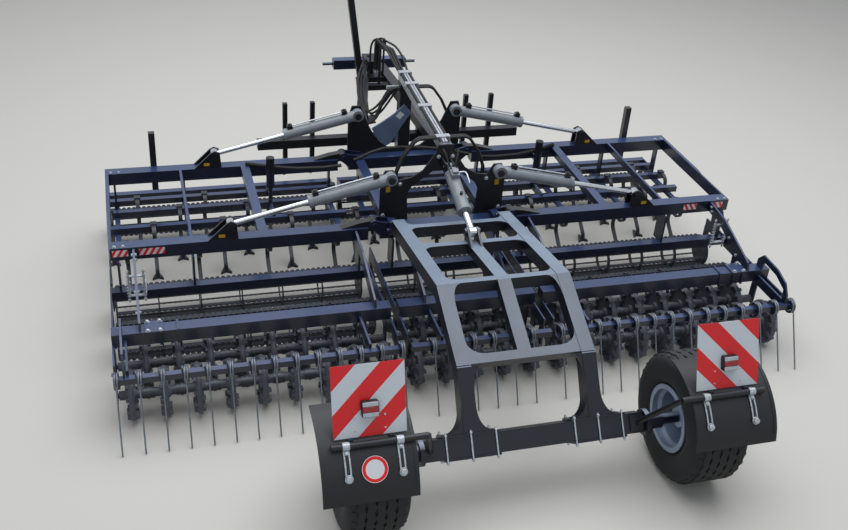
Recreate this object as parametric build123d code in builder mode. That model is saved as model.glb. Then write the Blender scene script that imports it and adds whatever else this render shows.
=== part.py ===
from build123d import *
from math import cos, radians, sin
import os

os.makedirs("parts", exist_ok=True)

# Millimetres. X to the machine's right, Y forward to the hitch, Z up from the ground.
# X and Y are counted from the middle of the machine's outline.

# main frame
BEAM = 100                  # square tube of the main beams
BEAM_Z = 730                # height of the main beams' middle
BEAM_TOP = BEAM_Z + BEAM / 2
BEAM_LOW = BEAM_Z - BEAM / 2
FRONT_Y = 1130              # front main beams
REAR_Y = -40                # rear main beams
CENTRE_HALF = 508           # half length of the middle beams
WING_IN = 600               # inner end of the wing beams
WING_OUT = 2480             # outer end of the wing beams
SIDE_IN = 370               # side members of the middle frame
SIDE_OUT = 450
SIDE_TOP = 770
SIDE_LOW = 690
HINGE_X = 554               # fold hinge beside the middle
HINGE_Z = 800               # fold hinge, just above the beams
HINGE_PIN_R = 20
HINGE_EYE_R = 40
HINGE_EYE_HALF = 30         # half width of the wing's eye, along the pin
PLATE = 15                  # bracket plates
RUN_GAP = 5                 # clearance beside turning pieces
PIN_GAP = 0.05              # radial clearance on pins
CURVE_GAP = 0.3             # clearance between curved faces of neighbours

# fold cylinders
FOLD_BASE_X = 432
FOLD_BASE_Z = 1165
FOLD_ROD_X = 1630
FOLD_ROD_Z = 885
FOLD_BARREL_R = 45
FOLD_BARREL_L = 640         # base pin to the barrel's open end
FOLD_BORE = 66              # base pin to the bottom of the barrel's bore
FOLD_ROD_R = 20
KNUCKLE_R = 48
KNUCKLE_HALF = 30
PIN_R = 16
HEAD_R = 28
HEAD_T = 12

# lift frame and its cylinder
LIFT_Y = -180               # hinge of the lift frame
LIFT_Z = 800
LIFT_HALF = 417.5           # middle of the side members
LIFT_W = 95
LIFT_H = 100
LIFT_FRONT = (-240, 925)    # top edge of the side members: front end, bend, rear corner
LIFT_BEND = (-1400, 1100)
LIFT_REAR = (-1934, 833)
LEG_RUN = (-0.6, -0.8)      # run of the legs below the rear corner
LEG_L = 405                 # rear corner to the clamp plates
LEG_FOOT = 130              # depth of a leg at its foot
CROSS_W = 62                # cross members
CROSS_H = 80
FRONT_CROSSES = (142, 518, 1140)    # their places behind the front end
REAR_CROSS = 548            # place of the last one behind the bend
MIDDLE_BAR = 92
CLAMP_T = 12
FLARE = 97                  # how far a leg's foot widens each side
FLARE_H = 155
LIFT_BASE_Y = -85
LIFT_BASE_Z = 1255
LIFT_ROD_Y = -718
LIFT_ROD_Z = 1057
LIFT_BARREL_R = 50
LIFT_BARREL_START = 75
LIFT_BARREL_L = 468
LIFT_ROD_R = 25

# axle and wheels
AXLE_Y = -2205
WHEEL_R = 432
AXLE_BEAM = 130
AXLE_HALF = 735
STUB_R = 35
WHEEL_X = 1092
TYRE_HALF = 195
RIM_R = 205
RIM_LIP_R = 222
HUB_R = 70
GUARD_R = 450               # outside of the mudguards
GUARD_T = 5
GUARD_IN = 873
GUARD_OUT = 1430
GUARD_LOW = 530             # rear edge of the mudguards
GUARD_FRONT_Y = -2163
ARM_Y = -2477
ARM_Z = 818
ARM_R = 20
STRAP_XS = (966, 1277)
STRAP_W = 40
STRAP_T = 5
PANEL = 422
PANEL_T = 4
PANEL_X = 1127
PANEL_Y = -2432
PANEL_Z = 836
PANEL_LEAN = 20.7
LAMP_W = 100
LAMP_H = 95
LAMP_T = 45
LAMP_UP = 166               # lamp's middle above the panel's lower edge
SIGN_R = 75
SIGN_TURN = 37              # place of the round sign above the rear of the wheel, degrees

# tine field
TOOL_IN = 585               # inner end of the wing's tools
TOOL_OUT = 2520
CENTRE_TOOL = 525           # half width of the middle tools
TINE_BAR = 50
TINE_BAR_Z = 430
TINE_W = 32
TINE_T = 12
SWEEP_W = 90
SWEEP_L = 120
TINE_PITCH = 553.5
# one row: place of the bar, first tine on a wing, tines on a wing, place on the middle
TINE_ROWS = (
    (1240, 615.5, 4, 62),
    (1045, 837.5, 4, 284),
    (780, 1059.0, 3, 506),
    (515, 728.0, 4, 175),
)
WING_RUNNERS = (672, 1336, 1890, 2443)
CENTRE_RUNNERS = (-410, 410)
RUNNER_H = 30

# depth cylinders of the wings
DEPTH_X = 1192
DEPTH_Y = 985
DEPTH_LUG_Z = 470

# rollers
FRONT_ROLLER_Y = 1440
FRONT_ROLLER_R = 130
CAGE_R = 150
CAGE_YS = (140, -345)
CAGE_BARS = 8
RING_R = 175
RING_FRONT_Y = -680
RING_REAR_Y = -1000
RING_PITCH = 220
RING_W = 56
RING_TUBE_R = 32
SHAFT_R = 18
SIDE_PLATE = 12
ROLLER_BEAM_Y = -750
ROLLER_BEAM_Z = 480
MID_BEAM = 70
MID_BEAM_Y = -100
MID_BEAM_Z = 400

# following harrow
HARROW_Y = -1160
HARROW_Z = 425
HARROW_BAR = 45
HARROW_PITCH = 147
HARROW_TIP_Y = -1420
HARROW_TIP_Z = 8
COIL_R = 55
COIL_IN_R = 43
COIL_W = 32
WIRE_R = 5
LAST_TINE_X = 2505          # outermost harrow tine

# drawbar and hitch
BOOM_LOW = 1335
BOOM_H = 60
BOOM_RISE = 65
BOOM_FRONT_Y = 1320
PIPE_R = 10                 # oil pipes along the boom
PIPE_XS = (-33, -11, 11, 33)
PIPE_CLAMP_YS = (120, 640, 1050, 1270)
HOSE_R = 11
HOSE_BEND = 90
# routes of the hoses from the boom: x and z, counted to the side they hang on
LEFT_FRONT_HOSE = ((50, 1352), (130, 1352), (185, 1250), (242, 1090), (410, 965), (410, 880))
RIGHT_FRONT_HOSE = ((50, 1352), (235, 1352), (330, 1225), (410, 1060), (410, 880))
REAR_HOSE = ((54, 1408), (205, 1408), (300, 1270), (350, 1140), (350, 1060))
# routes of the hoses over the ring to the coupling block: y and z
LOWER_LEAD = ((1320, 1418), (1400, 1418), (1750, 1470), (2060, 1398), (2265, 1398), (2265, 1040))
UPPER_LEAD = ((1320, 1442), (1400, 1442), (1750, 1494), (2060, 1422), (2295, 1422), (2295, 1040))
LEAD_X = 12
RING_Y = 2148               # ring that holds the hoses up, and the post below it
RING_Z = 1410
MAST_Y0 = FRONT_Y + BEAM / 2 + PLATE
MAST_Y1 = MAST_Y0 + 100
DRAWBAR_H = 90
HITCH_Y = 2572
HITCH_Z = 1060
HITCH_BAR = 90
HITCH_PIN_R = 14
HITCH_SHOULDER = 356
HITCH_END = 456
FORK_END_Y = 2644.2
HEAD_Y1 = HITCH_Y - 110
LEG_X = -135
LEG_Y = 2242
LEG_LEAN = 8.5              # the leg's top leans to the left, degrees
LEG_HALF = 28
LEG_WALL = 5
LEG_MIDDLE = 880            # height of the sleeve's middle

# wheel mark looseners
MARK_Y = 1630
MARK_Z = 705
MARK_BEAM = 80
MARK_HALF = 1214
MARK_XS = (-958, -714, 714, 958)


def box_at(x0, x1, y0, y1, z0, z1, mode=Mode.ADD):
    """Adds a block between two corners."""
    with Locations(((x0 + x1) / 2, (y0 + y1) / 2, (z0 + z1) / 2)):
        Box(abs(x1 - x0), abs(y1 - y0), abs(z1 - z0), mode=mode)


def beam_x(x0, x1, y, z, size):
    """Adds a square tube that runs across the machine."""
    box_at(x0, x1, y - size / 2, y + size / 2, z - size / 2, z + size / 2)


def plate_xz(points, y0, thickness, mode=Mode.ADD):
    """Adds an upright plate that faces forward, from its outline in x and z."""
    with BuildSketch(Plane.XZ.offset(-y0 - thickness)) as profile:
        with BuildLine():
            Polyline(*points, close=True)
        make_face()
    extrude(profile.sketch, amount=thickness, mode=mode)


def plate_yz(points, x0, thickness, mode=Mode.ADD):
    """Adds an upright plate that faces sideways, from its outline in y and z."""
    with BuildSketch(Plane.YZ.offset(x0)) as profile:
        with BuildLine():
            Polyline(*points, close=True)
        make_face()
    extrude(profile.sketch, amount=thickness, mode=mode)


def rod_between(a, b, radius, mode=Mode.ADD):
    """Adds a round bar between two points."""
    start = Vector(*a)
    along = Vector(*b) - start
    with BuildSketch(Plane(origin=start, z_dir=along)) as profile:
        Circle(radius)
    extrude(profile.sketch, amount=along.length, mode=mode)


def disc_x(x0, x1, y, z, radius, mode=Mode.ADD):
    """Adds a round piece whose axis runs across the machine."""
    with BuildSketch(Plane.YZ.offset(min(x0, x1))) as profile:
        with Locations((y, z)):
            Circle(radius)
    extrude(profile.sketch, amount=abs(x1 - x0), mode=mode)


def disc_y(x, y0, y1, z, radius, mode=Mode.ADD):
    """Adds a round piece whose axis runs along the machine."""
    with BuildSketch(Plane.XZ.offset(-y1)) as profile:
        with Locations((x, z)):
            Circle(radius)
    extrude(profile.sketch, amount=y1 - y0, mode=mode)


def mirrored(points):
    """Gives an outline's right half with its mirror image, as one closed outline."""
    return list(points) + [(-x, z) for x, z in reversed(points)]


def save(piece, name):
    """Labels a piece and writes it."""
    piece.part.label = name
    export_step(piece.part, "parts/" + name + ".step")


def save_both(piece, name):
    """Writes a piece of the right side and its mirror image on the left."""
    save(piece, "right_" + name)
    with BuildPart() as other:
        add(piece.part)
        mirror(about=Plane.YZ, mode=Mode.REPLACE)
    save(other, "left_" + name)


# middle frame: two beams, two side members, hinge cheeks, lugs of the lift frame
with BuildPart() as centre_frame:
    for y in (FRONT_Y, REAR_Y):
        beam_x(-CENTRE_HALF, CENTRE_HALF, y, BEAM_Z, BEAM)
        for side in (-1, 1):
            for y0 in (y + HINGE_EYE_HALF + RUN_GAP, y - HINGE_EYE_HALF - RUN_GAP - PLATE):
                disc_y(side * HINGE_X, y0, y0 + PLATE, HINGE_Z, HINGE_EYE_R)
                plate_xz(
                    [
                        (side * (CENTRE_HALF - 120), BEAM_TOP - 60),
                        (side * (CENTRE_HALF - 120), BEAM_TOP + 20),
                        (side * (HINGE_X - 25), HINGE_Z + HINGE_EYE_R - 10),
                        (side * (HINGE_X + 15), HINGE_Z - HINGE_EYE_R + 5),
                        (side * CENTRE_HALF, BEAM_Z - 20),
                    ],
                    y0,
                    PLATE,
                )
            reach = HINGE_EYE_HALF + RUN_GAP + PLATE + HEAD_T
            disc_y(side * HINGE_X, y - reach, y + reach, HINGE_Z, HINGE_PIN_R)
    for side in (-1, 1):
        box_at(side * SIDE_IN, side * SIDE_OUT, REAR_Y + BEAM / 2, FRONT_Y - BEAM / 2,
               SIDE_LOW, SIDE_TOP)
        x = side * LIFT_HALF
        box_at(x - 30, x + 30, LIFT_Y, REAR_Y - BEAM / 2, LIFT_Z - 30, LIFT_Z + 30)
        box_at(x - 30, x + 30, REAR_Y - BEAM / 2 - 30, REAR_Y, BEAM_LOW + 20, LIFT_Z + 30)
        disc_x(x - 30, x + 30, LIFT_Y, LIFT_Z, 30)
        disc_x(x - 65, x + 65, LIFT_Y, LIFT_Z, HINGE_PIN_R)
save(centre_frame, "centre_frame")

# rear portal that carries the rear fold cylinders and the lift cylinder
PORTAL_Y0 = REAR_Y + BEAM / 2
with BuildPart() as rear_portal:
    plate_xz(
        mirrored([
            (60, BOOM_LOW + BOOM_H), (75, 1335), (115, 1270), (170, 1190), (260, 1135),
            (350, 1120), (400, 1205), (465, 1205), (500, 1130), (495, 700), (265, 700),
            (285, 1000), (255, 1062), (160, 1130), (95, 1180),
        ]),
        PORTAL_Y0,
        PLATE,
    )
    for side in (-1, 1):
        box_at(side * (SIDE_IN - 2), side * (SIDE_OUT + 2), PORTAL_Y0, PORTAL_Y0 + PLATE,
               0, SIDE_TOP, mode=Mode.SUBTRACT)
        x = side * FOLD_BASE_X
        disc_y(x, REAR_Y - KNUCKLE_HALF - 3, PORTAL_Y0, FOLD_BASE_Z, PIN_R)
        disc_y(x, REAR_Y - KNUCKLE_HALF - 3 - HEAD_T, REAR_Y - KNUCKLE_HALF - 3, FOLD_BASE_Z, HEAD_R)
        box_at(side * 22, side * 37, LIFT_BASE_Y - 40, PORTAL_Y0, LIFT_BASE_Z - 40, LIFT_BASE_Z + 40)
        box_at(side * 320, side * 380, PORTAL_Y0 + PLATE, PORTAL_Y0 + PLATE + 125, 1020, 1060)
    disc_x(-48, 48, LIFT_BASE_Y, LIFT_BASE_Z, PIN_R)
save(rear_portal, "rear_portal")

# front plate that carries the front fold cylinders, with the mast at its middle
FRONT_PLATE_Y0 = FRONT_Y + BEAM / 2


def boom_line(y):
    """Height of the boom's lower side at a place along the machine."""
    start = PORTAL_Y0 + PLATE
    return BOOM_LOW + BOOM_RISE * (y - start) / (BOOM_FRONT_Y - start)


with BuildPart() as front_mast:
    plate_xz(
        mirrored([
            (110, 820), (150, 830), (215, 880), (275, 960), (330, 1060), (372, 1160),
            (400, 1225), (470, 1225), (500, 1130), (500, 690),
        ]),
        FRONT_PLATE_Y0,
        PLATE,
    )
    for side in (-1, 1):
        x = side * FOLD_BASE_X
        disc_y(x, FRONT_Y - KNUCKLE_HALF - 3, FRONT_PLATE_Y0, FOLD_BASE_Z, PIN_R)
        disc_y(x, FRONT_Y - KNUCKLE_HALF - 3 - HEAD_T, FRONT_Y - KNUCKLE_HALF - 3, FOLD_BASE_Z, HEAD_R)
        box_at(side * 380, side * 440, MAST_Y0, MAST_Y0 + 80, 840, 880)
    plate_yz(
        [
            (MAST_Y0, BEAM_TOP), (MAST_Y1, BEAM_TOP),
            (MAST_Y1, boom_line(MAST_Y1)), (MAST_Y0, boom_line(MAST_Y0)),
        ],
        -50,
        100,
    )
save(front_mast, "front_mast")

# top boom from the rear portal over the front mast
with BuildPart() as top_boom:
    plate_yz(
        [
            (PORTAL_Y0 + PLATE, BOOM_LOW), (PORTAL_Y0 + PLATE, BOOM_LOW + BOOM_H),
            (BOOM_FRONT_Y, BOOM_LOW + BOOM_RISE + BOOM_H), (BOOM_FRONT_Y, BOOM_LOW + BOOM_RISE),
        ],
        -45,
        90,
    )
    pipe_start = PORTAL_Y0 + PLATE + 10
    for x in PIPE_XS:
        rod_between(
            (x, pipe_start, boom_line(pipe_start) + BOOM_H + PIPE_R - 2),
            (x, BOOM_FRONT_Y - 5, boom_line(BOOM_FRONT_Y - 5) + BOOM_H + PIPE_R - 2),
            PIPE_R,
        )
    for y in PIPE_CLAMP_YS:
        top = boom_line(y) + BOOM_H
        box_at(-54, 54, y - 25, y + 25, top - 8, top + 24)
save(top_boom, "top_boom")


def hose(points, plane):
    """Adds a hose in an upright plane, from its route in that plane."""
    with BuildLine(plane) as route:
        FilletPolyline(*points, radius=HOSE_BEND)
    with BuildSketch(Plane(origin=route.line @ 0, z_dir=route.line % 0)) as bore:
        Circle(HOSE_R)
    sweep(bore.sketch, path=route.line)


# hoses that hang from the boom to the bases of the fold cylinders, and those over the ring
with BuildPart() as boom_hoses:
    for side, route in ((-1, LEFT_FRONT_HOSE), (1, RIGHT_FRONT_HOSE)):
        for lead in (30, 60):
            hose([(side * x, z) for x, z in route], Plane.XZ.offset(-MAST_Y0 - lead))
    for side in (-1, 1):
        for lead in (-13, 13):
            hose([(side * x, z) for x, z in REAR_HOSE], Plane.XZ.offset(-PIPE_CLAMP_YS[0] - lead))
        for route in (LOWER_LEAD, UPPER_LEAD):
            hose(route, Plane.YZ.offset(side * LEAD_X))
save(boom_hoses, "boom_hoses")


def leg_place(up):
    """Gives the place and lean of a piece on the parking leg's axis."""
    lean = radians(LEG_LEAN)
    return Location((LEG_X - up * sin(lean), LEG_Y, LEG_MIDDLE + up * cos(lean)), (0, -LEG_LEAN, 0))


# drawbar: two arms that rise to the hitch head, hose post and block, the leg's sleeve
ARM_START_Z = 735
with BuildPart() as drawbar_arms:
    for side in (-1, 1):
        with BuildSketch(Plane.XY.offset(600)) as plan:
            with BuildLine():
                Polyline(
                    (side * 330, MAST_Y0), (side * 440, MAST_Y0),
                    (side * 120, HEAD_Y1 - 15), (side * 30, HEAD_Y1 - 15), close=True,
                )
            make_face()
        extrude(plan.sketch, amount=600)
    plate_yz(
        [
            (MAST_Y0, ARM_START_Z - DRAWBAR_H / 2), (MAST_Y0, ARM_START_Z + DRAWBAR_H / 2),
            (HEAD_Y1, HITCH_Z + DRAWBAR_H / 2), (HEAD_Y1, HITCH_Z - DRAWBAR_H / 2),
        ],
        -500,
        1000,
        mode=Mode.INTERSECT,
    )
with BuildPart() as drawbar:
    add(drawbar_arms.part)
    box_at(-60, 60, HEAD_Y1 - 105, HEAD_Y1, HITCH_Z - 63, HITCH_Z + 90)
    for z in (HITCH_Z - 63, HITCH_Z + 48):
        box_at(-60, 60, HEAD_Y1 - 105, FORK_END_Y, z, z + 15)
    rod_between((0, HITCH_Y, HITCH_Z - 78), (0, HITCH_Y, HITCH_Z + 78), HINGE_PIN_R)
    box_at(-115, 115, RING_Y - 35, RING_Y + 35, 960, 1010)
    box_at(-85, 85, LOWER_LEAD[-1][0] - 30, UPPER_LEAD[-1][0] + 30, 990, LOWER_LEAD[-1][1])
    rod_between((0, RING_Y, 1000), (0, RING_Y, RING_Z - 44), 12)
    disc_y(0, RING_Y - 8, RING_Y + 8, RING_Z, 50)
    disc_y(0, RING_Y - 8, RING_Y + 8, RING_Z, 38, mode=Mode.SUBTRACT)
    for side in (-1, 1):
        box_at(side * 240, side * 325, MARK_Y - 30, MARK_Y + 30, MARK_Z + MARK_BEAM / 2, 800)
    sleeve = 2 * LEG_HALF + 22
    hollow = 2 * LEG_HALF + 0.2
    with Locations(leg_place(0)):
        Box(sleeve, sleeve, 320)
    with Locations(leg_place(0)):
        Box(hollow, hollow, 500, mode=Mode.SUBTRACT)
save(drawbar, "drawbar")

# hitch cross bar on its upright pin
with BuildPart() as hitch_bar:
    half = HITCH_BAR / 2
    box_at(-HITCH_SHOULDER, HITCH_SHOULDER, HITCH_Y - half, HITCH_Y + half,
           HITCH_Z - half, HITCH_Z + half)
    disc_x(-HITCH_END, HITCH_END, HITCH_Y, HITCH_Z, HITCH_PIN_R)
    rod_between(
        (0, HITCH_Y, HITCH_Z - 50), (0, HITCH_Y, HITCH_Z + 50),
        HINGE_PIN_R + PIN_GAP, mode=Mode.SUBTRACT,
    )
save(hitch_bar, "hitch_bar")

# parking leg, raised in its sleeve
with BuildPart() as parking_leg:
    with Locations(leg_place(410)):
        Box(2 * LEG_HALF, 2 * LEG_HALF, 1380)
        Box(2 * LEG_HALF - 2 * LEG_WALL, 2 * LEG_HALF - 2 * LEG_WALL, 1340, mode=Mode.SUBTRACT)
    with Locations(leg_place(-284)):
        Box(170, 170, 12)
save(parking_leg, "parking_leg")

# beam of the wheel mark looseners with its four tines
with BuildPart() as mark_looseners:
    beam_x(-MARK_HALF, MARK_HALF, MARK_Y, MARK_Z, MARK_BEAM)
    face = MARK_Y + MARK_BEAM / 2
    for x in MARK_XS:
        box_at(x - 20, x + 20, face, face + 40, 480, 1060)
        plate_yz(
            [
                (face, 520), (face + 40, 520), (face + 40, 450), (face + 110, 345),
                (face + 80, 325), (face, 420),
            ],
            x - 12,
            24,
        )
save(mark_looseners, "mark_looseners")

# one spring tine with its share, at the middle of its bar
BAR_TOP = TINE_BAR_Z + TINE_BAR / 2
TOP_Z = BAR_TOP + TINE_T / 2
with BuildPart() as tine:
    with BuildSketch(Plane.YZ.offset(-TINE_W / 2)) as strip:
        with BuildLine() as spring:
            top = Line((40, TOP_Z), (-45, TOP_Z))
            back = JernArc(top @ 1, top % 1, 70, 180)
            under = Line(back @ 1, (-10, (back @ 1).Y))
            front = JernArc(under @ 1, under % 1, 80, -140)
            shank = Line(front @ 1, (front @ 1) + (front % 1) * 150)
            curl = JernArc(shank @ 1, shank % 1, 60, 70)
            Line(curl @ 1, (curl @ 1) + (curl % 1) * 18)
        trace(line_width=TINE_T)
    extrude(strip.sketch, amount=TINE_W)
    box_at(-25, 25, -25, 25, BAR_TOP + TINE_T, BAR_TOP + TINE_T + 8)
    with BuildSketch(Plane.XY) as outline:
        with BuildLine():
            Polyline(
                (0, 0), (SWEEP_W / 2, -SWEEP_L), (0, -SWEEP_L * 0.8), (-SWEEP_W / 2, -SWEEP_L),
                close=True,
            )
        make_face()
    extrude(outline.sketch, amount=22)


def tine_places(row, wing):
    """Gives the x places of a row on the right wing or on the middle."""
    y, first, count, middle = row
    if wing:
        return [first + TINE_PITCH * k for k in range(count)]
    return [-middle, middle]


RUNNER_TOP = TINE_BAR_Z - TINE_BAR / 2
RUNNER_LOW = RUNNER_TOP - RUNNER_H
FIRST_BAR_Y = TINE_ROWS[0][0]
LAST_BAR_Y = TINE_ROWS[-1][0]
for wing in (True, False):
    x0 = TOOL_IN if wing else -CENTRE_TOOL
    x1 = TOOL_OUT if wing else CENTRE_TOOL
    put = save_both if wing else save
    lead = "" if wing else "centre_"
    with BuildPart() as tine_frame:
        for row in TINE_ROWS:
            beam_x(x0, x1, row[0], TINE_BAR_Z, TINE_BAR)
        for x in WING_RUNNERS if wing else CENTRE_RUNNERS:
            box_at(x - 20, x + 20, LAST_BAR_Y - 30, FIRST_BAR_Y + 40, RUNNER_LOW, RUNNER_TOP)
            box_at(x - 8, x + 8, FRONT_Y - 30, FRONT_Y + 30, RUNNER_LOW, BEAM_LOW)
            plate_yz(
                [
                    (REAR_Y + BEAM / 2, SIDE_LOW), (REAR_Y + BEAM / 2, SIDE_LOW - 60),
                    (REAR_Y + 90, SIDE_LOW - 60), (LAST_BAR_Y - 30, RUNNER_LOW),
                    (LAST_BAR_Y + 40, RUNNER_LOW), (LAST_BAR_Y + 40, RUNNER_TOP + 20),
                    (REAR_Y + 110, SIDE_LOW),
                ],
                x - 8,
                16,
            )
        if wing:
            box_at(DEPTH_X - 12, DEPTH_X + 12, TINE_ROWS[2][0], TINE_ROWS[1][0], 410, DEPTH_LUG_Z)
        beam_x(x0, x1, FRONT_ROLLER_Y, 380, 60)
        for x in (x0, x1 - SIDE_PLATE):
            box_at(x, x + SIDE_PLATE, FIRST_BAR_Y + 25, FRONT_ROLLER_Y + 35, 350, 410)
            box_at(x, x + SIDE_PLATE, FRONT_ROLLER_Y - 35, FRONT_ROLLER_Y + 35, 95, 380)
            disc_x(x, x + SIDE_PLATE, FRONT_ROLLER_Y, FRONT_ROLLER_R, SHAFT_R + PIN_GAP,
                   mode=Mode.SUBTRACT)
    put(tine_frame, lead + "tine_frame")
    with BuildPart() as tines:
        for row in TINE_ROWS:
            with Locations(*[(x, row[0], 0) for x in tine_places(row, wing)]):
                add(tine.part)
    put(tines, lead + "tines")


def cage(x0, x1, y, radius, bars, rings):
    """Builds a roller of flat bars on ring plates, with its shaft ends."""
    with BuildPart() as roller:
        with BuildSketch(Plane.YZ.offset(x0 + 20)) as spokes:
            with Locations((y, radius)):
                with PolarLocations(radius - 20, bars):
                    Rectangle(40, 8)
        extrude(spokes.sketch, amount=x1 - x0 - 40)
        step = (x1 - x0 - 50) / (rings - 1)
        for k in range(rings):
            start = x0 + 20 + step * k
            disc_x(start, start + 10, y, radius, radius - 12)
            if 0 < k < rings - 1:
                disc_x(start, start + 10, y, radius, radius - 60, mode=Mode.SUBTRACT)
        disc_x(x0, x0 + 25, y, radius, SHAFT_R)
        disc_x(x1 - 25, x1, y, radius, SHAFT_R)
    return roller


# one cast ring's section: distance along the tube, distance from its middle
RING_SECTION = (
    (-RING_W / 2, RING_TUBE_R - 5), (-RING_W / 2, RING_TUBE_R + 14), (-7, RING_TUBE_R + 22),
    (-7, RING_R - 38), (-20, RING_R - 20), (-20, RING_R - 8), (-6, RING_R), (6, RING_R),
    (20, RING_R - 8), (20, RING_R - 20), (7, RING_R - 38), (7, RING_TUBE_R + 22),
    (RING_W / 2, RING_TUBE_R + 14), (RING_W / 2, RING_TUBE_R - 5),
)


def ring_roller(x0, x1, y, places):
    """Builds a roller of cast rings on a tube, with its shaft ends."""
    with BuildPart() as roller:
        disc_x(x0 + 18, x1 - 18, y, RING_R, RING_TUBE_R)
        disc_x(x0, x1, y, RING_R, SHAFT_R)
        with BuildSketch(Plane.XY.offset(RING_R)) as section:
            for x in places:
                with BuildLine():
                    Polyline(*[(x + along, y + out) for along, out in RING_SECTION], close=True)
                make_face()
        revolve(section.sketch, axis=Axis((0, y, RING_R), (1, 0, 0)))
    return roller


for wing in (True, False):
    x0 = TOOL_IN if wing else -CENTRE_TOOL
    x1 = TOOL_OUT if wing else CENTRE_TOOL
    put = save_both if wing else save
    lead = "" if wing else "centre_"
    rear_rings = [660 + RING_PITCH * k for k in range(9)] if wing else [-440, -220, 0, 220, 440]
    front_rings = [770 + RING_PITCH * k for k in range(8)] if wing else [-330, -110, 110, 330]
    put(cage(x0, x1, FRONT_ROLLER_Y, FRONT_ROLLER_R, CAGE_BARS, 4 if wing else 3),
        lead + "front_roller")
    put(cage(x0, x1, CAGE_YS[0], CAGE_R, CAGE_BARS, 7 if wing else 4), lead + "cage_roller_1")
    put(cage(x0, x1, CAGE_YS[1], CAGE_R, CAGE_BARS, 7 if wing else 4), lead + "cage_roller_2")
    put(ring_roller(x0, x1, RING_FRONT_Y, front_rings), lead + "ring_roller_1")
    put(ring_roller(x0, x1, RING_REAR_Y, rear_rings), lead + "ring_roller_2")
    beam_top = ROLLER_BEAM_Z + BEAM / 2
    with BuildPart() as roller_frame:
        beam_x(x0, x1, ROLLER_BEAM_Y, ROLLER_BEAM_Z, BEAM)
        beam_x(x0, x1, MID_BEAM_Y, MID_BEAM_Z, MID_BEAM)
        bearings = (
            (RING_REAR_Y, RING_R), (RING_FRONT_Y, RING_R),
            (CAGE_YS[1], CAGE_R), (CAGE_YS[0], CAGE_R),
        )
        for x in (x0, x1 - SIDE_PLATE):
            box_at(x, x + SIDE_PLATE, RING_REAR_Y - 30, CAGE_YS[0] + 30, 360, ROLLER_BEAM_Z - 30)
            for y, z in bearings:
                box_at(x, x + SIDE_PLATE, y - 35, y + 35, z - 40, 380)
                disc_x(x, x + SIDE_PLATE, y, z, SHAFT_R + PIN_GAP, mode=Mode.SUBTRACT)
        for x in ((672, 1915, 2443) if wing else (-410, 410)):
            box_at(x - 8, x + 8, MID_BEAM_Y - 30, REAR_Y + 40, MID_BEAM_Z + MID_BEAM / 2, BEAM_LOW)
        for x in ((700, 2330) if wing else (-330, 330)):
            plate_yz(
                [
                    (REAR_Y - BEAM / 2, 770), (REAR_Y - BEAM / 2, 690), (-330, 655),
                    (-520, 580), (-640, beam_top), (ROLLER_BEAM_Y - 40, beam_top),
                    (ROLLER_BEAM_Y - 20, beam_top + 60), (-560, 665), (-350, 740),
                ],
                x - 8,
                16,
            )
    put(roller_frame, lead + "roller_frame")
    if wing:
        places = [LAST_TINE_X - HARROW_PITCH * k for k in range(14)]
    else:
        places = [HARROW_PITCH * (k + 0.5) for k in range(-3, 3)]
    with BuildPart() as harrow:
        beam_x(x0 + 5, x1 - 5, HARROW_Y, HARROW_Z, HARROW_BAR)
        for x in places:
            for side in (-1, 1):
                turn = (x + side * 3, x + side * COIL_W / 2)
                disc_x(*turn, HARROW_Y, HARROW_Z, COIL_R)
                disc_x(*turn, HARROW_Y, HARROW_Z, COIL_IN_R, mode=Mode.SUBTRACT)
        beam_x(x0 + 5, x1 - 5, HARROW_Y, HARROW_Z, HARROW_BAR)
        for x in places:
            box_at(x - 14, x + 14, HARROW_Y - 14, HARROW_Y + 14, HARROW_Z + 20, HARROW_Z + 52)
            rod_between((x, HARROW_Y - 48, HARROW_Z), (x, HARROW_TIP_Y, HARROW_TIP_Z), WIRE_R)
        for x in ((815, 2430) if wing else (-300, 300)):
            box_at(x - 8, x + 8, HARROW_Y + HARROW_BAR / 2 - 2, ROLLER_BEAM_Y - BEAM / 2,
                   HARROW_Z - 20, HARROW_Z + 60)
        if wing:
            plate_yz(
                [
                    (ROLLER_BEAM_Y + 30, beam_top), (ROLLER_BEAM_Y + 30, 590), (ROLLER_BEAM_Y - 30, 655),
                    (-980, 645), (-1110, 600), (-1165, 520), (-1165, HARROW_Z + 10),
                    (-1125, HARROW_Z + 10), (-1105, 545), (-980, 595), (ROLLER_BEAM_Y - 60, 605),
                    (ROLLER_BEAM_Y - 40, beam_top),
                ],
                2446,
                14,
            )
    put(harrow, lead + "harrow")

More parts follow.
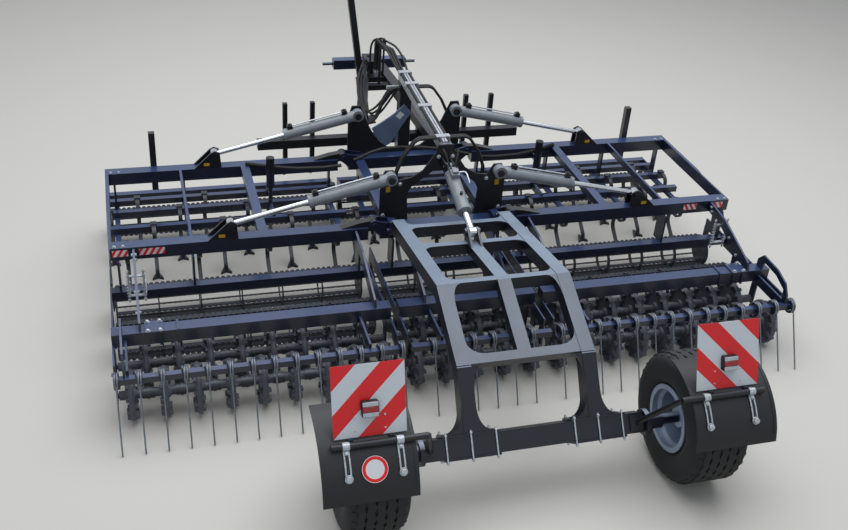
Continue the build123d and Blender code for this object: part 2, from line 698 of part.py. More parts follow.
# wing frame: two beams, cross members, hinge eyes, brackets of the fold cylinders
with BuildPart() as wing_frame:
    for y in (FRONT_Y, REAR_Y):
        beam_x(WING_IN, WING_OUT, y, BEAM_Z, BEAM)
        plate_xz(
            [
                (HINGE_X, HINGE_Z - 35), (HINGE_X, HINGE_Z + 35), (HINGE_X + 110, HINGE_Z + 20),
                (HINGE_X + 260, BEAM_TOP), (HINGE_X + 260, BEAM_TOP - 5),
                (WING_IN, BEAM_TOP - 5), (WING_IN, HINGE_Z - 45),
            ],
            y - HINGE_EYE_HALF,
            2 * HINGE_EYE_HALF,
        )
        disc_y(HINGE_X, y - HINGE_EYE_HALF, y + HINGE_EYE_HALF, HINGE_Z, HINGE_EYE_R)
        disc_y(HINGE_X, y - HINGE_EYE_HALF, y + HINGE_EYE_HALF, HINGE_Z, HINGE_PIN_R + PIN_GAP,
               mode=Mode.SUBTRACT)
        for side in (-1, 1):
            inner = KNUCKLE_HALF + 4
            y0 = y + (inner if side > 0 else -inner - PLATE)
            plate_xz(
                [
                    (FOLD_ROD_X - 50, BEAM_TOP), (FOLD_ROD_X - 40, FOLD_ROD_Z + 25),
                    (FOLD_ROD_X, FOLD_ROD_Z + 42), (FOLD_ROD_X + 35, FOLD_ROD_Z + 25),
                    (FOLD_ROD_X + 170, BEAM_TOP),
                ],
                y0,
                PLATE,
            )
            y1 = y + (inner + PLATE if side > 0 else -inner - PLATE - HEAD_T)
            disc_y(FOLD_ROD_X, y1, y1 + HEAD_T, FOLD_ROD_Z, HEAD_R)
    for x, width in ((1390, 70), (1915, 20)):
        box_at(x - width / 2, x + width / 2, REAR_Y + BEAM / 2, FRONT_Y - BEAM / 2,
               BEAM_Z - 10, BEAM_TOP)
    box_at(WING_OUT, WING_OUT + PLATE, REAR_Y - BEAM / 2, FRONT_Y + BEAM / 2, BEAM_LOW, BEAM_TOP)
    plate_yz(
        [
            (FRONT_Y + BEAM / 2, BEAM_LOW), (FRONT_Y + BEAM / 2, BEAM_TOP), (460, BEAM_TOP),
            (170, BEAM_TOP - 45), (-30, BEAM_TOP - 130), (-120, BEAM_TOP - 250), (-150, BEAM_TOP - 250),
            (-140, BEAM_TOP - 280), (-80, BEAM_TOP - 280), (-20, BEAM_TOP - 190), (180, BEAM_LOW),
        ],
        WING_OUT + PLATE,
        SIDE_PLATE,
    )
    box_at(2095, 2145, FRONT_Y + BEAM / 2, FRONT_Y + BEAM / 2 + 50, 560, 1072)
    box_at(DEPTH_X - 30, DEPTH_X + 30, DEPTH_Y, FRONT_Y - BEAM / 2, BEAM_Z - 30, BEAM_Z + 20)
    rod_between((DEPTH_X, DEPTH_Y, 620), (DEPTH_X, DEPTH_Y, 892), 34)
    rod_between((DEPTH_X, DEPTH_Y, DEPTH_LUG_Z), (DEPTH_X, DEPTH_Y, 640), 16)
save_both(wing_frame, "wing_frame")

# fold cylinders of the right wing, barrels and rods
FOLD_RUN = (Vector(FOLD_ROD_X, 0, FOLD_ROD_Z) - Vector(FOLD_BASE_X, 0, FOLD_BASE_Z)).normalized()


def fold_point(y, distance):
    """Gives the point on a fold cylinder's axis at a distance from its base pin."""
    return tuple(Vector(FOLD_BASE_X, y, FOLD_BASE_Z) + FOLD_RUN * distance)


with BuildPart() as fold_barrels:
    for y in (FRONT_Y, REAR_Y):
        rod_between(fold_point(y, 20), fold_point(y, FOLD_BARREL_L), FOLD_BARREL_R)
        disc_y(FOLD_BASE_X, y - KNUCKLE_HALF, y + KNUCKLE_HALF, FOLD_BASE_Z, KNUCKLE_R)
        disc_y(FOLD_BASE_X, y - FOLD_BARREL_R, y + FOLD_BARREL_R, FOLD_BASE_Z,
               PIN_R + PIN_GAP, mode=Mode.SUBTRACT)
        for side in (-1, 1):
            y0 = y + side * KNUCKLE_HALF
            y1 = y + side * (FOLD_BARREL_R + 5)
            disc_y(FOLD_BASE_X, min(y0, y1), max(y0, y1), FOLD_BASE_Z, KNUCKLE_R, mode=Mode.SUBTRACT)
        rod_between(fold_point(y, FOLD_BORE), fold_point(y, FOLD_BARREL_L - 30), FOLD_ROD_R + 8,
                    mode=Mode.SUBTRACT)
        rod_between(fold_point(y, FOLD_BORE), fold_point(y, FOLD_BARREL_L), FOLD_ROD_R + CURVE_GAP,
                    mode=Mode.SUBTRACT)
save_both(fold_barrels, "fold_barrels")
with BuildPart() as fold_rods:
    for y in (FRONT_Y, REAR_Y):
        tip = (FOLD_ROD_X, y, FOLD_ROD_Z)
        rod_between(fold_point(y, FOLD_BARREL_L - 45), tip, FOLD_ROD_R)
        disc_y(FOLD_ROD_X, y - KNUCKLE_HALF, y + KNUCKLE_HALF, FOLD_ROD_Z, 36)
save_both(fold_rods, "fold_rods")

# lift cylinder
LIFT_RUN = (Vector(0, LIFT_ROD_Y, LIFT_ROD_Z) - Vector(0, LIFT_BASE_Y, LIFT_BASE_Z)).normalized()


def lift_point(distance):
    """Gives the point on the lift cylinder's axis at a distance from its base pin."""
    return tuple(Vector(0, LIFT_BASE_Y, LIFT_BASE_Z) + LIFT_RUN * distance)


with BuildPart() as lift_barrel:
    rod_between(lift_point(LIFT_BARREL_START), lift_point(LIFT_BARREL_L), LIFT_BARREL_R)
    rod_between(lift_point(0), lift_point(LIFT_BARREL_START + 5), 19)
    disc_x(-19, 19, LIFT_BASE_Y, LIFT_BASE_Z, 35)
    disc_x(-25, 25, LIFT_BASE_Y, LIFT_BASE_Z, PIN_R + PIN_GAP, mode=Mode.SUBTRACT)
    rod_between(lift_point(120), lift_point(LIFT_BARREL_L - 30), LIFT_ROD_R + 10, mode=Mode.SUBTRACT)
    rod_between(lift_point(120), lift_point(LIFT_BARREL_L), LIFT_ROD_R + CURVE_GAP, mode=Mode.SUBTRACT)
save(lift_barrel, "lift_barrel")
with BuildPart() as lift_rod:
    rod_between(lift_point(250), (0, LIFT_ROD_Y, LIFT_ROD_Z), LIFT_ROD_R)
    disc_x(-24, 24, LIFT_ROD_Y, LIFT_ROD_Z, 36)
save(lift_rod, "lift_rod")


def leg_point(down, back):
    """Gives the y and z of a point down a leg from its rear corner, and behind its rear face."""
    y = LIFT_REAR[0] + LEG_RUN[0] * down + LEG_RUN[1] * back
    z = LIFT_REAR[1] + LEG_RUN[1] * down - LEG_RUN[0] * back
    return y, z


def face_plane(start, end, drop):
    """Gives the plane below a sloping top face, with its -Y along the face from the start."""
    run = Vector(0, end[0] - start[0], end[1] - start[1]).normalized()
    up = Vector(0, run.Z, -run.Y)
    return Plane(origin=Vector(0, *start) - up * drop, x_dir=(1, 0, 0), z_dir=up)


def slab(plane, x0, x1, near, far, depth):
    """Adds a bar below a sloping face, between two places along it."""
    with BuildSketch(plane) as profile:
        with Locations(((x0 + x1) / 2, -(near + far) / 2)):
            Rectangle(abs(x1 - x0), abs(far - near))
    extrude(profile.sketch, amount=-depth)


def gusset(plane, corner, reach, depth):
    """Adds a corner filler with a hollow round edge between two members."""
    x, place = corner
    with BuildSketch(plane) as profile:
        with Locations((x + reach[0] / 2, -place + reach[1] / 2)):
            Rectangle(abs(reach[0]), abs(reach[1]))
        with Locations((x + reach[0], -place + reach[1])):
            Ellipse(abs(reach[0]) - 5, abs(reach[1]) - 5, mode=Mode.SUBTRACT)
    extrude(profile.sketch, amount=-depth)


# lift frame with its legs down to the axle beam
LEG_END = leg_point(LEG_L, 0)
with BuildPart() as lift_frame:
    front_face = face_plane(LIFT_FRONT, LIFT_BEND, 4)
    rear_face = face_plane(LIFT_BEND, LIFT_REAR, 4)
    leg_face = face_plane(LIFT_REAR, LEG_END, 4)
    inner = LIFT_HALF - LIFT_W / 2
    for side in (-1, 1):
        with BuildSketch(Plane.YZ.offset(side * LIFT_HALF - LIFT_W / 2)) as member:
            with BuildLine():
                Polyline((-247, 876), (-1392, 1048), (-1901, 794))
            trace(line_width=LIFT_H)
        extrude(member.sketch, amount=LIFT_W)
        plate_yz(
            [
                LIFT_REAR, LEG_END, leg_point(LEG_L, -LEG_FOOT), (-1868, 755), (-1870, 830),
            ],
            side * LIFT_HALF - LIFT_W / 2,
            LIFT_W,
        )
        for cheek in (-1, 1):
            x = side * LIFT_HALF + cheek * 40
            plate_yz(
                [
                    (-290, 900), (-215, 900), (LIFT_Y + 32, LIFT_Z + 5), (LIFT_Y + 14, LIFT_Z - 30),
                    (LIFT_Y - 14, LIFT_Z - 33), (-290, 835),
                ],
                x - PLATE / 2,
                PLATE,
            )
            disc_x(x - PLATE / 2, x + PLATE / 2, LIFT_Y, LIFT_Z, HINGE_PIN_R + PIN_GAP,
                   mode=Mode.SUBTRACT)
        edge = side * (inner + 3)
        for k, place in enumerate(FRONT_CROSSES):
            for way in (-1, 1):
                if k < 2 or way > 0:
                    near = place - way * (CROSS_W / 2 - 3)
                    gusset(front_face, (edge, near), (-side * 63, way * 63), 14)
        gusset(rear_face, (edge, 0), (-side * 68, -150), 14)
        gusset(rear_face, (edge, REAR_CROSS - CROSS_W / 2 + 3), (-side * 115, 103), 14)
        gusset(leg_face, (edge, -5), (-side * 70, -160), 14)
        for way in (-1, 1):
            foot = side * LIFT_HALF + way * (LIFT_W / 2 - 3)
            gusset(leg_face, (foot, LEG_L), (way * (FLARE + 3), FLARE_H), LEG_FOOT - 30)
        for low in (LEG_L, LEG_L + CLAMP_T + AXLE_BEAM):
            slab(face_plane(LIFT_REAR, LEG_END, -10), side * 240, side * 610, low, low + CLAMP_T,
                 AXLE_BEAM + 20)
        disc_x(side * AXLE_HALF, side * (AXLE_HALF + 30), AXLE_Y, WHEEL_R, 85)
        disc_x(side * AXLE_HALF, side * (AXLE_HALF + 130), AXLE_Y, WHEEL_R, 55)
        disc_x(side * AXLE_HALF, side * (WHEEL_X - 60), AXLE_Y, WHEEL_R, STUB_R)
    for place in FRONT_CROSSES:
        slab(front_face, -inner, inner, place - CROSS_W / 2, place + CROSS_W / 2, CROSS_H)
    slab(rear_face, -inner, inner, REAR_CROSS - CROSS_W / 2, REAR_CROSS + CROSS_W / 2, CROSS_H)
    half = MIDDLE_BAR / 2
    slab(front_face, -half, half, FRONT_CROSSES[1], FRONT_CROSSES[2], CROSS_H - 10)
    slab(rear_face, -half, half, 0, REAR_CROSS, CROSS_H - 10)
    for cheek in (-1, 1):
        plate_yz(
            [
                (LIFT_ROD_Y + 20, 950), (LIFT_ROD_Y + 32, LIFT_ROD_Z + 20), (LIFT_ROD_Y + 12, LIFT_ROD_Z + 34),
                (LIFT_ROD_Y - 14, LIFT_ROD_Z + 34), (LIFT_ROD_Y - 160, 1000), (LIFT_ROD_Y - 160, 960),
            ],
            cheek * 36 - 8,
            16,
        )
        disc_x(cheek * 44, cheek * 56, LIFT_ROD_Y, LIFT_ROD_Z, HEAD_R)
    low = LEG_L + CLAMP_T
    plate_yz(
        [
            leg_point(low, 0), leg_point(low + AXLE_BEAM, 0),
            leg_point(low + AXLE_BEAM, -AXLE_BEAM), leg_point(low, -AXLE_BEAM),
        ],
        -AXLE_HALF,
        2 * AXLE_HALF,
    )
save(lift_frame, "lift_frame")


def wheel_axis():
    """Gives the turning axis of the wheels."""
    return Axis((0, AXLE_Y, WHEEL_R), (1, 0, 0))


# tyre and rim of the right wheel
with BuildPart() as tyre:
    with BuildSketch(Plane.XZ.offset(-AXLE_Y)) as profile:
        with BuildLine():
            Polyline(
                *[(WHEEL_X + x, WHEEL_R + r) for x, r in (
                    (-148, RIM_R), (-160, RIM_LIP_R + 8), (-185, 258), (-TYRE_HALF, 310), (-190, 370),
                    (-172, 408), (-138, WHEEL_R), (138, WHEEL_R), (172, 408), (190, 370),
                    (TYRE_HALF, 310), (185, 258), (160, RIM_LIP_R + 8), (148, RIM_R),
                )],
                close=True,
            )
        make_face()
    revolve(profile.sketch, axis=wheel_axis())
save_both(tyre, "tyre")
with BuildPart() as rim:
    well = RIM_R - CURVE_GAP
    with BuildSketch(Plane.XZ.offset(-AXLE_Y)) as profile:
        with BuildLine():
            Polyline(
                *[(WHEEL_X + x, WHEEL_R + r) for x, r in (
                    (-164, well), (164, well), (166, RIM_LIP_R), (178, RIM_LIP_R), (178, well - 12),
                    (60, well - 28), (40, 145), (10, 118), (10, HUB_R), (70, HUB_R), (70, 0), (-55, 0),
                    (-55, STUB_R + PIN_GAP), (-100, STUB_R + PIN_GAP), (-100, HUB_R), (-5, HUB_R),
                    (-5, 124), (28, 152), (44, well - 32), (-120, well - 30), (-140, well - 12),
                    (-178, well - 12), (-178, RIM_LIP_R), (-166, RIM_LIP_R),
                )],
                close=True,
            )
        make_face()
    revolve(profile.sketch, axis=wheel_axis())
save_both(rim, "rim")

# mudguards over both wheels
with BuildPart() as mudguards:
    for side in (-1, 1):
        low = min(side * GUARD_IN, side * GUARD_OUT)
        with BuildSketch(Plane.YZ.offset(low)) as shell:
            with Locations((AXLE_Y, WHEEL_R)):
                Circle(GUARD_R)
                Circle(GUARD_R - GUARD_T, mode=Mode.SUBTRACT)
            with Locations((GUARD_FRONT_Y + 600, WHEEL_R), (AXLE_Y, GUARD_LOW - 600)):
                Rectangle(1200, 1200, mode=Mode.SUBTRACT)
        extrude(shell.sketch, amount=GUARD_OUT - GUARD_IN)
save(mudguards, "mudguards")


def panel_plane(side):
    """Gives the plane of a warning panel, from the middle of its lower edge."""
    upright = Plane(origin=(side * PANEL_X, PANEL_Y, PANEL_Z), x_dir=(1, 0, 0), z_dir=(0, -1, 0))
    return upright.rotated((-PANEL_LEAN, 0, 0))


# bars that carry the mudguards, with straps and the uprights of the panels
with BuildPart() as guard_arms:
    strap_r = GUARD_R + CURVE_GAP
    for side in (-1, 1):
        for x in STRAP_XS:
            with BuildSketch(Plane.YZ.offset(side * x - STRAP_W / 2)) as strap:
                with BuildLine():
                    CenterArc((AXLE_Y, WHEEL_R), strap_r + STRAP_T / 2, 122, 27)
                trace(line_width=STRAP_T)
            extrude(strap.sketch, amount=STRAP_W)
        disc_x(side * 800, side * 1360, ARM_Y, ARM_Z, ARM_R)
        slab(face_plane(LIFT_REAR, LEG_END, -12), side * 640, side * 730, LEG_L + 25, LEG_L + 125, 12)
        rod_between((side * 800, ARM_Y, ARM_Z), (side * 690, *leg_point(LEG_L + 75, 4)), 18)
        lean = panel_plane(side)
        with BuildSketch(lean.offset(-5)) as uprights:
            with Locations((-120, 141), (120, 141)):
                Rectangle(20, 298)
        extrude(uprights.sketch, amount=5)
        with BuildSketch(lean) as blocks:
            with Locations((-120, -10), (120, -10)):
                Rectangle(30, 16)
        extrude(blocks.sketch, amount=27)
    with BuildSketch(face_plane(LIFT_REAR, LEG_END, 0)) as face:
        with Locations((0, -LEG_L - 75)):
            Rectangle(1600, 200)
    extrude(face.sketch, amount=-AXLE_BEAM, mode=Mode.SUBTRACT)
save(guard_arms, "guard_arms")

# striped warning panels with a lamp on each
with BuildPart() as warning_panels:
    for side in (-1, 1):
        with BuildSketch(panel_plane(side)) as panel:
            with Locations((0, PANEL / 2)):
                Rectangle(PANEL, PANEL)
        extrude(panel.sketch, amount=PANEL_T)
save(warning_panels, "warning_panels")
with BuildPart() as rear_lamps:
    for side in (-1, 1):
        with BuildSketch(panel_plane(side).offset(PANEL_T)) as lamp:
            with Locations((0, LAMP_UP)):
                Rectangle(LAMP_W, LAMP_H)
        extrude(lamp.sketch, amount=LAMP_T)
save(rear_lamps, "rear_lamps")

# round sign on the left mudguard
with BuildPart() as round_sign:
    out = Vector(0, -1, 0).rotate(Axis.X, -SIGN_TURN)
    centre = Vector(-PANEL_X, AXLE_Y, WHEEL_R) + out * (GUARD_R + CURVE_GAP)
    with BuildSketch(Plane(origin=centre, x_dir=(1, 0, 0), z_dir=out)) as boss:
        Circle(18)
    extrude(boss.sketch, amount=7)
    with BuildSketch(Plane(origin=centre + out * 7, x_dir=(1, 0, 0), z_dir=out)) as disc:
        Circle(SIGN_R)
    extrude(disc.sketch, amount=3)
save(round_sign, "round_sign")
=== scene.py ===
"""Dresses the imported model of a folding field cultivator."""

import logging
import math
from abc import ABC, abstractmethod
from dataclasses import dataclass, replace
from enum import IntEnum
from typing import Iterable, Sequence

import bmesh
import bpy
from mathutils import Matrix, Vector

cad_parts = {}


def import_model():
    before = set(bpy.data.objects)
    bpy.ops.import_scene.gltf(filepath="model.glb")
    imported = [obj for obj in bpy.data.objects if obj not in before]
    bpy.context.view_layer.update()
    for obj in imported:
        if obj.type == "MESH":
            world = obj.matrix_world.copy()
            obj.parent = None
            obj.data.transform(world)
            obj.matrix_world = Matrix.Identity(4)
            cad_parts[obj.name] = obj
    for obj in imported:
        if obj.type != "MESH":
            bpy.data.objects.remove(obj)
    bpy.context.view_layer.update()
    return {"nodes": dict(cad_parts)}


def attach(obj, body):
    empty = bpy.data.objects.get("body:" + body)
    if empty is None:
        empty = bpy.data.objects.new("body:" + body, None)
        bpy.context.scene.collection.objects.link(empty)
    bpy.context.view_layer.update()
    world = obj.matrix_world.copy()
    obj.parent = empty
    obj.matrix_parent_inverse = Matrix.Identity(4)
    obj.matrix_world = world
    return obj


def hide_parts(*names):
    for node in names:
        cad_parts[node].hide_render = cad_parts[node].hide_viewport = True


LOG = logging.getLogger("cultivator")
Point = tuple[float, float, float]
Pair = tuple[float, float]
SIGNAL_RED = "#dc0d14"
# Thickness of a vinyl label, and its gap from the face below, in metres.
LABEL_THICK = 0.0008
LABEL_GAP = 0.0003


class Side(IntEnum):
    """Side of the machine, seen in the direction of travel, as the sign of its x."""

    LEFT = -1
    RIGHT = 1

    @property
    def word(self) -> str:
        """The side's name as the pieces have it."""
        return self.name.lower()


def linear(sheet_colour: str) -> tuple[float, float, float, float]:
    """Turns an sRGB hex colour into linear values.

    Args:
        sheet_colour: Six hex digits after a hash sign.

    Returns:
        Red, green, blue and alpha for a shader socket.
    """
    digits = sheet_colour.lstrip("#")
    values = []
    for start in (0, 2, 4):
        part = int(digits[start:start + 2], 16) / 255
        values.append(part / 12.92 if part <= 0.04045 else ((part + 0.055) / 1.055) ** 2.4)
    return (values[0], values[1], values[2], 1.0)


@dataclass(frozen=True)
class Graph:
    """A shader node tree, built up from the sockets of its nodes."""

    tree: bpy.types.NodeTree

    def add(self, kind: str, inputs: dict | None = None,
            **settings: object) -> bpy.types.bpy_prop_collection:
        """Adds a node with its settings and links.

        Args:
            kind: Blender's name of the node type after ShaderNode.
            inputs: Value or output socket for each named or numbered input.
            settings: Attributes of the node.

        Returns:
            The outputs of the new node.
        """
        node = self.tree.nodes.new(f"ShaderNode{kind}")
        for name, value in settings.items():
            setattr(node, name, value)
        for key, value in (inputs or {}).items():
            socket = node.inputs[key]
            if isinstance(value, bpy.types.NodeSocket):
                self.tree.links.new(value, socket)
            else:
                socket.default_value = value
        return node.outputs

    def math(self, operation: str, *values: object) -> bpy.types.NodeSocket:
        """Adds a sum, product or comparison.

        Args:
            operation: Blender's name of the operation.
            values: Numbers or sockets that it takes.

        Returns:
            The result's socket.
        """
        return self.add("Math", dict(enumerate(values)), operation=operation)["Value"]

    def ranged(self, value: bpy.types.NodeSocket, low: float, high: float, start: float = 0.0,
               end: float = 1.0) -> bpy.types.NodeSocket:
        """Moves a value from one range to another, and holds it there.

        Args:
            value: Socket of the value.
            low: Result at the start of its range.
            high: Result at the end.
            start: Where its range starts.
            end: Where its range ends.

        Returns:
            The result's socket.
        """
        return self.add("MapRange", {
            "Value": value, "From Min": start, "From Max": end, "To Min": low, "To Max": high,
        })["Result"]

    def blend(self, share: bpy.types.NodeSocket, first: object, second: object) -> bpy.types.NodeSocket:
        """Mixes two colours.

        Args:
            share: Socket with the share of the second colour.
            first: First colour or its socket.
            second: Second colour or its socket.

        Returns:
            The mixed colour's socket.
        """
        return self.add("Mix", {"Factor": share, "A": first, "B": second}, data_type="RGBA")["Result"]

    def noise(self, place: bpy.types.NodeSocket, size_mm: float, detail: float,
              rough: float = 0.5) -> bpy.types.NodeSocket:
        """Adds a noise.

        Args:
            place: Socket of the coordinates in metres.
            size_mm: Size of its patches in millimetres.
            detail: Number of finer layers.
            rough: Strength of the finer layers.

        Returns:
            The noise's socket.
        """
        return self.add("TexNoise", {
            "Vector": place, "Scale": 1000 / size_mm, "Detail": detail, "Roughness": rough,
        })["Fac"]

    def cells(self, place: bpy.types.NodeSocket, size_mm: float) -> bpy.types.NodeSocket:
        """Adds a field of cells.

        Args:
            place: Socket of the coordinates in metres.
            size_mm: Size of a cell in millimetres.

        Returns:
            The socket of the distance from a cell's middle.
        """
        return self.add("TexVoronoi", {"Vector": place, "Scale": 1000 / size_mm})["Distance"]

    def shader(self, colour: bpy.types.NodeSocket, gloss: bpy.types.NodeSocket,
               height: bpy.types.NodeSocket, relief: Pair, extra: dict) -> bpy.types.NodeSocket:
        """Adds the surface shader with its fine relief.

        Args:
            colour: Socket of the colour.
            gloss: Socket of the roughness.
            height: Socket of the relief's height.
            relief: Strength of the relief, and its depth in metres.
            extra: Other inputs of the shader by name.

        Returns:
            The shader's socket.
        """
        normal = self.add("Bump", {"Height": height, "Strength": relief[0], "Distance": relief[1]})["Normal"]
        return self.add("BsdfPrincipled", {
            "Base Color": colour, "Roughness": gloss, "Normal": normal, **extra,
        })["BSDF"]


@dataclass(frozen=True)
class Surface(ABC):
    """What a piece is made of or coated with."""

    name: str

    def material(self) -> bpy.types.Material:
        """Gives the surface's material, made once.

        Returns:
            The material.
        """
        made = bpy.data.materials.get(self.name)
        if made is None:
            made = bpy.data.materials.new(self.name)
            made.use_nodes = True
            made.node_tree.nodes.clear()
            graph = Graph(made.node_tree)
            graph.add("OutputMaterial", {"Surface": self.shaded(graph)})
        return made

    @abstractmethod
    def shaded(self, graph: Graph) -> bpy.types.NodeSocket:
        """Builds the surface's nodes.

        Args:
            graph: Node tree of the material.

        Returns:
            The shader's socket.
        """


@dataclass(frozen=True)
class Finish(Surface):
    """A surface with mottled colour, uneven gloss and fine relief.

    Names that end in mm are in millimetres. sky_sheen is how strongly the sky_sheen_colour, a painted
    sky reflection, covers faces that look up at rest, from the upward share sky_sheen_from on. Above the
    height upper, in metres, the upper colour takes over.
    """

    colour: str
    shade: str
    roughness: float = 0.4
    metallic: float = 0.0
    mottle_mm: float = 60.0
    grain_mm: float = 3.0
    relief: float = 0.1
    uneven: float = 0.12
    coat: float = 0.0
    # Painted sky reflection: a lighter colour laid on faces that look up, standing in for light from the
    # sky.
    sky_sheen: float = 0.0
    sky_sheen_from: float = 0.3
    sky_sheen_colour: str = "#6f7480"
    upper: float = 0.0
    upper_colour: str = "#0d0e13"

    def shaded(self, graph: Graph) -> bpy.types.NodeSocket:
        """Builds the nodes of the coat: colour, gloss and grain.

        Args:
            graph: Node tree of the material.

        Returns:
            The shader's socket.
        """
        place = graph.add("TexCoord")
        grain = graph.noise(place["Object"], self.grain_mm, 3.0, 0.6)
        least, most = max(0.03, self.roughness - self.uneven), min(1.0, self.roughness + self.uneven)
        return graph.shader(
            self.paint(graph, place), graph.ranged(grain, least, most), grain,
            (self.relief, self.grain_mm / 4000),
            {"Metallic": self.metallic, "Coat Weight": self.coat, "Coat Roughness": 0.15},
        )

    def paint(self, graph: Graph, place: bpy.types.bpy_prop_collection) -> bpy.types.NodeSocket:
        """Mixes the two colours by a slow mottle and paints a sky reflection on upward faces.

        Args:
            graph: Node tree of the material.
            place: Outputs of the texture coordinates.

        Returns:
            The colour's socket.
        """
        mottle = graph.noise(place["Object"], self.mottle_mm, 5.0, 0.65)
        spread = graph.ranged(mottle, 0.0, 1.0, 0.35, 0.68)
        colour = graph.blend(spread, linear(self.colour), linear(self.shade))
        # Paint the sky reflection: lighten faces that look up, a little less where the mottle leans to the
        # second colour.
        if self.sky_sheen:
            upward = graph.add("SeparateXYZ", {"Vector": place["Normal"]})["Z"]
            facing = graph.ranged(upward, 0.0, self.sky_sheen, self.sky_sheen_from, 1.0)
            cover = graph.math("MULTIPLY", facing, graph.ranged(spread, 1.0, 0.82))
            colour = graph.blend(cover, colour, linear(self.sky_sheen_colour))
        if self.upper:
            height = graph.add("SeparateXYZ", {"Vector": place["Object"]})["Z"]
            above = graph.math("GREATER_THAN", height, self.upper)
            colour = graph.blend(above, colour, linear(self.upper_colour))
        return colour


@dataclass(frozen=True)
class StripedSheet(Surface):
    """Retroreflective sheet in slanted red and white bands.

    The bands follow a direction counted with the left side folded onto the right.
    """

    along: Point
    offset: float
    white: str = "#cdd6e0"

    def shaded(self, graph: Graph) -> bpy.types.NodeSocket:
        """Builds the nodes of the bands, the cells and the dirt.

        Args:
            graph: Node tree of the material.

        Returns:
            The shader's socket.
        """
        place = graph.add("TexCoord")["Object"]
        apart = graph.add("SeparateXYZ", {"Vector": place})
        folded = graph.add("CombineXYZ", {
            "X": graph.math("ABSOLUTE", apart["X"]), "Y": apart["Y"], "Z": apart["Z"],
        })["Vector"]
        reach = graph.add("VectorMath", {0: folded, 1: self.along}, operation="DOT_PRODUCT")["Value"]
        band = graph.math("FRACT", graph.math("ADD", reach, self.offset))
        bands = graph.blend(graph.math("LESS_THAN", band, 0.5), linear(self.white), linear(SIGNAL_RED))
        cells = graph.cells(place, 4.0)
        colour = graph.add("VectorMath", {
            0: bands, "Scale": graph.ranged(cells, 0.97, 1.04),
        }, operation="SCALE")["Vector"]
        gloss = graph.ranged(graph.noise(place, 45.0, 4.0), 0.28, 0.46)
        coat = {"Coat Weight": 0.4, "Coat Roughness": 0.2}
        return graph.shader(colour, gloss, cells, (0.08, 0.0004), coat)


@dataclass(frozen=True)
class RingSheet(Surface):
    """White retroreflective sheet with a red ring, and nothing inside it."""

    centre: Point
    inner: float
    outer: float
    white: str = "#d9dde2"

    def shaded(self, graph: Graph) -> bpy.types.NodeSocket:
        """Builds the nodes of the ring and the cells.

        Args:
            graph: Node tree of the material.

        Returns:
            The shader's socket.
        """
        place = graph.add("TexCoord")["Object"]
        span = graph.add("VectorMath", {0: place, 1: self.centre}, operation="DISTANCE")["Value"]
        past = graph.math("GREATER_THAN", span, self.inner)
        ring = graph.math("MULTIPLY", past, graph.math("LESS_THAN", span, self.outer))
        colour = graph.blend(ring, linear(self.white), linear(SIGNAL_RED))
        cells = graph.cells(place, 3.0)
        gloss = graph.ranged(cells, 0.3, 0.5)
        coat = {"Coat Weight": 0.3, "Coat Roughness": 0.2}
        return graph.shader(colour, gloss, cells, (0.06, 0.0003), coat)


# Two-pack enamel sprayed on welded box section: near-black navy, with a saturated blue painted sky
# reflection on the faces that look up.
NAVY_ENAMEL = Finish("navy_enamel_sprayed", "#151c34", "#11172b", 0.34, mottle_mm=180, grain_mm=6,
                     relief=0.06, uneven=0.06, coat=0.35, sky_sheen=0.95, sky_sheen_from=0.45,
                     sky_sheen_colour="#2d4069")
# The same enamel, with its painted sky reflection, on the wings, whose brackets above the beams are black
# powder coat.
WING_ENAMEL = replace(NAVY_ENAMEL, name="navy_enamel_black_brackets", upper=0.7815)
# The same dark enamel on the lift frame, with a pale painted sky reflection on its broad tops and dark legs.
SKY_LIT_LIFT_ENAMEL = Finish("navy_enamel_painted_pale_sky_top", "#0a0e1a", "#0d1220", 0.36, mottle_mm=220, grain_mm=6,
                      relief=0.06, uneven=0.06, coat=0.1, sky_sheen=0.8, sky_sheen_from=0.80,
                      sky_sheen_colour="#8c9cb2")
# Navy enamel on the mast's cover and its gusset, painted pale slate to stand in for sky light, with more
# painted sky reflection on faces that look up: satin, even.
PAINTED_LIGHT_NAVY_ENAMEL = Finish("navy_enamel_painted_pale_light", "#5f6f8c", "#55647f", 0.38, mottle_mm=120, grain_mm=5,
                     relief=0.06, uneven=0.06, coat=0.25, sky_sheen=0.5, sky_sheen_colour="#8394ab")
# Powder coat on laser-cut brackets: near black, fine satin grain, with a faint painted sky reflection on
# faces that look up.
BLACK_POWDER = Finish("black_powder_coat", "#0b0c11", "#101218", 0.42, mottle_mm=120, grain_mm=2,
                      relief=0.12, uneven=0.08, sky_sheen=0.3, sky_sheen_colour="#2c3242")
# Cylinder primer enamel: neutral mid grey, satin.
CYLINDER_GREY = Finish("grey_cylinder_enamel", "#7c848d", "#707881", 0.38, mottle_mm=90, grain_mm=4,
                       relief=0.06, uneven=0.07, coat=0.2)
# Hard chrome on ground rod: bright mirror with faint grinding haze.
HARD_CHROME = Finish("hard_chrome_ground", "#d4d8dd", "#c3c8cf", 0.14, metallic=1.0, mottle_mm=30,
                     grain_mm=1, relief=0.03, uneven=0.05)
# Hot-dip zinc: pale grey, dull spangle.
HOT_DIP_ZINC = Finish("hot_dip_zinc", "#c2c8cf", "#9ea5ae", 0.4, metallic=0.8, mottle_mm=18,
                      grain_mm=2, relief=0.08, uneven=0.12)
# Spring steel wire of the harrow, shot-peened and clear-dipped: light grey sheen.
SPRING_STEEL = Finish("peened_spring_steel", "#7d838c", "#666c75", 0.4, metallic=0.5, mottle_mm=35,
                      grain_mm=2, relief=0.12, uneven=0.1)
# Cultivator tines in black dip paint, mottled, with a lighter painted sky reflection on faces that look up.
TINE_BLACK = Finish("dipped_tine_paint", "#1d2028", "#282b33", 0.42, metallic=0.2, mottle_mm=35,
                    grain_mm=2, relief=0.12, uneven=0.1, sky_sheen=0.35, sky_sheen_colour="#4d535e")
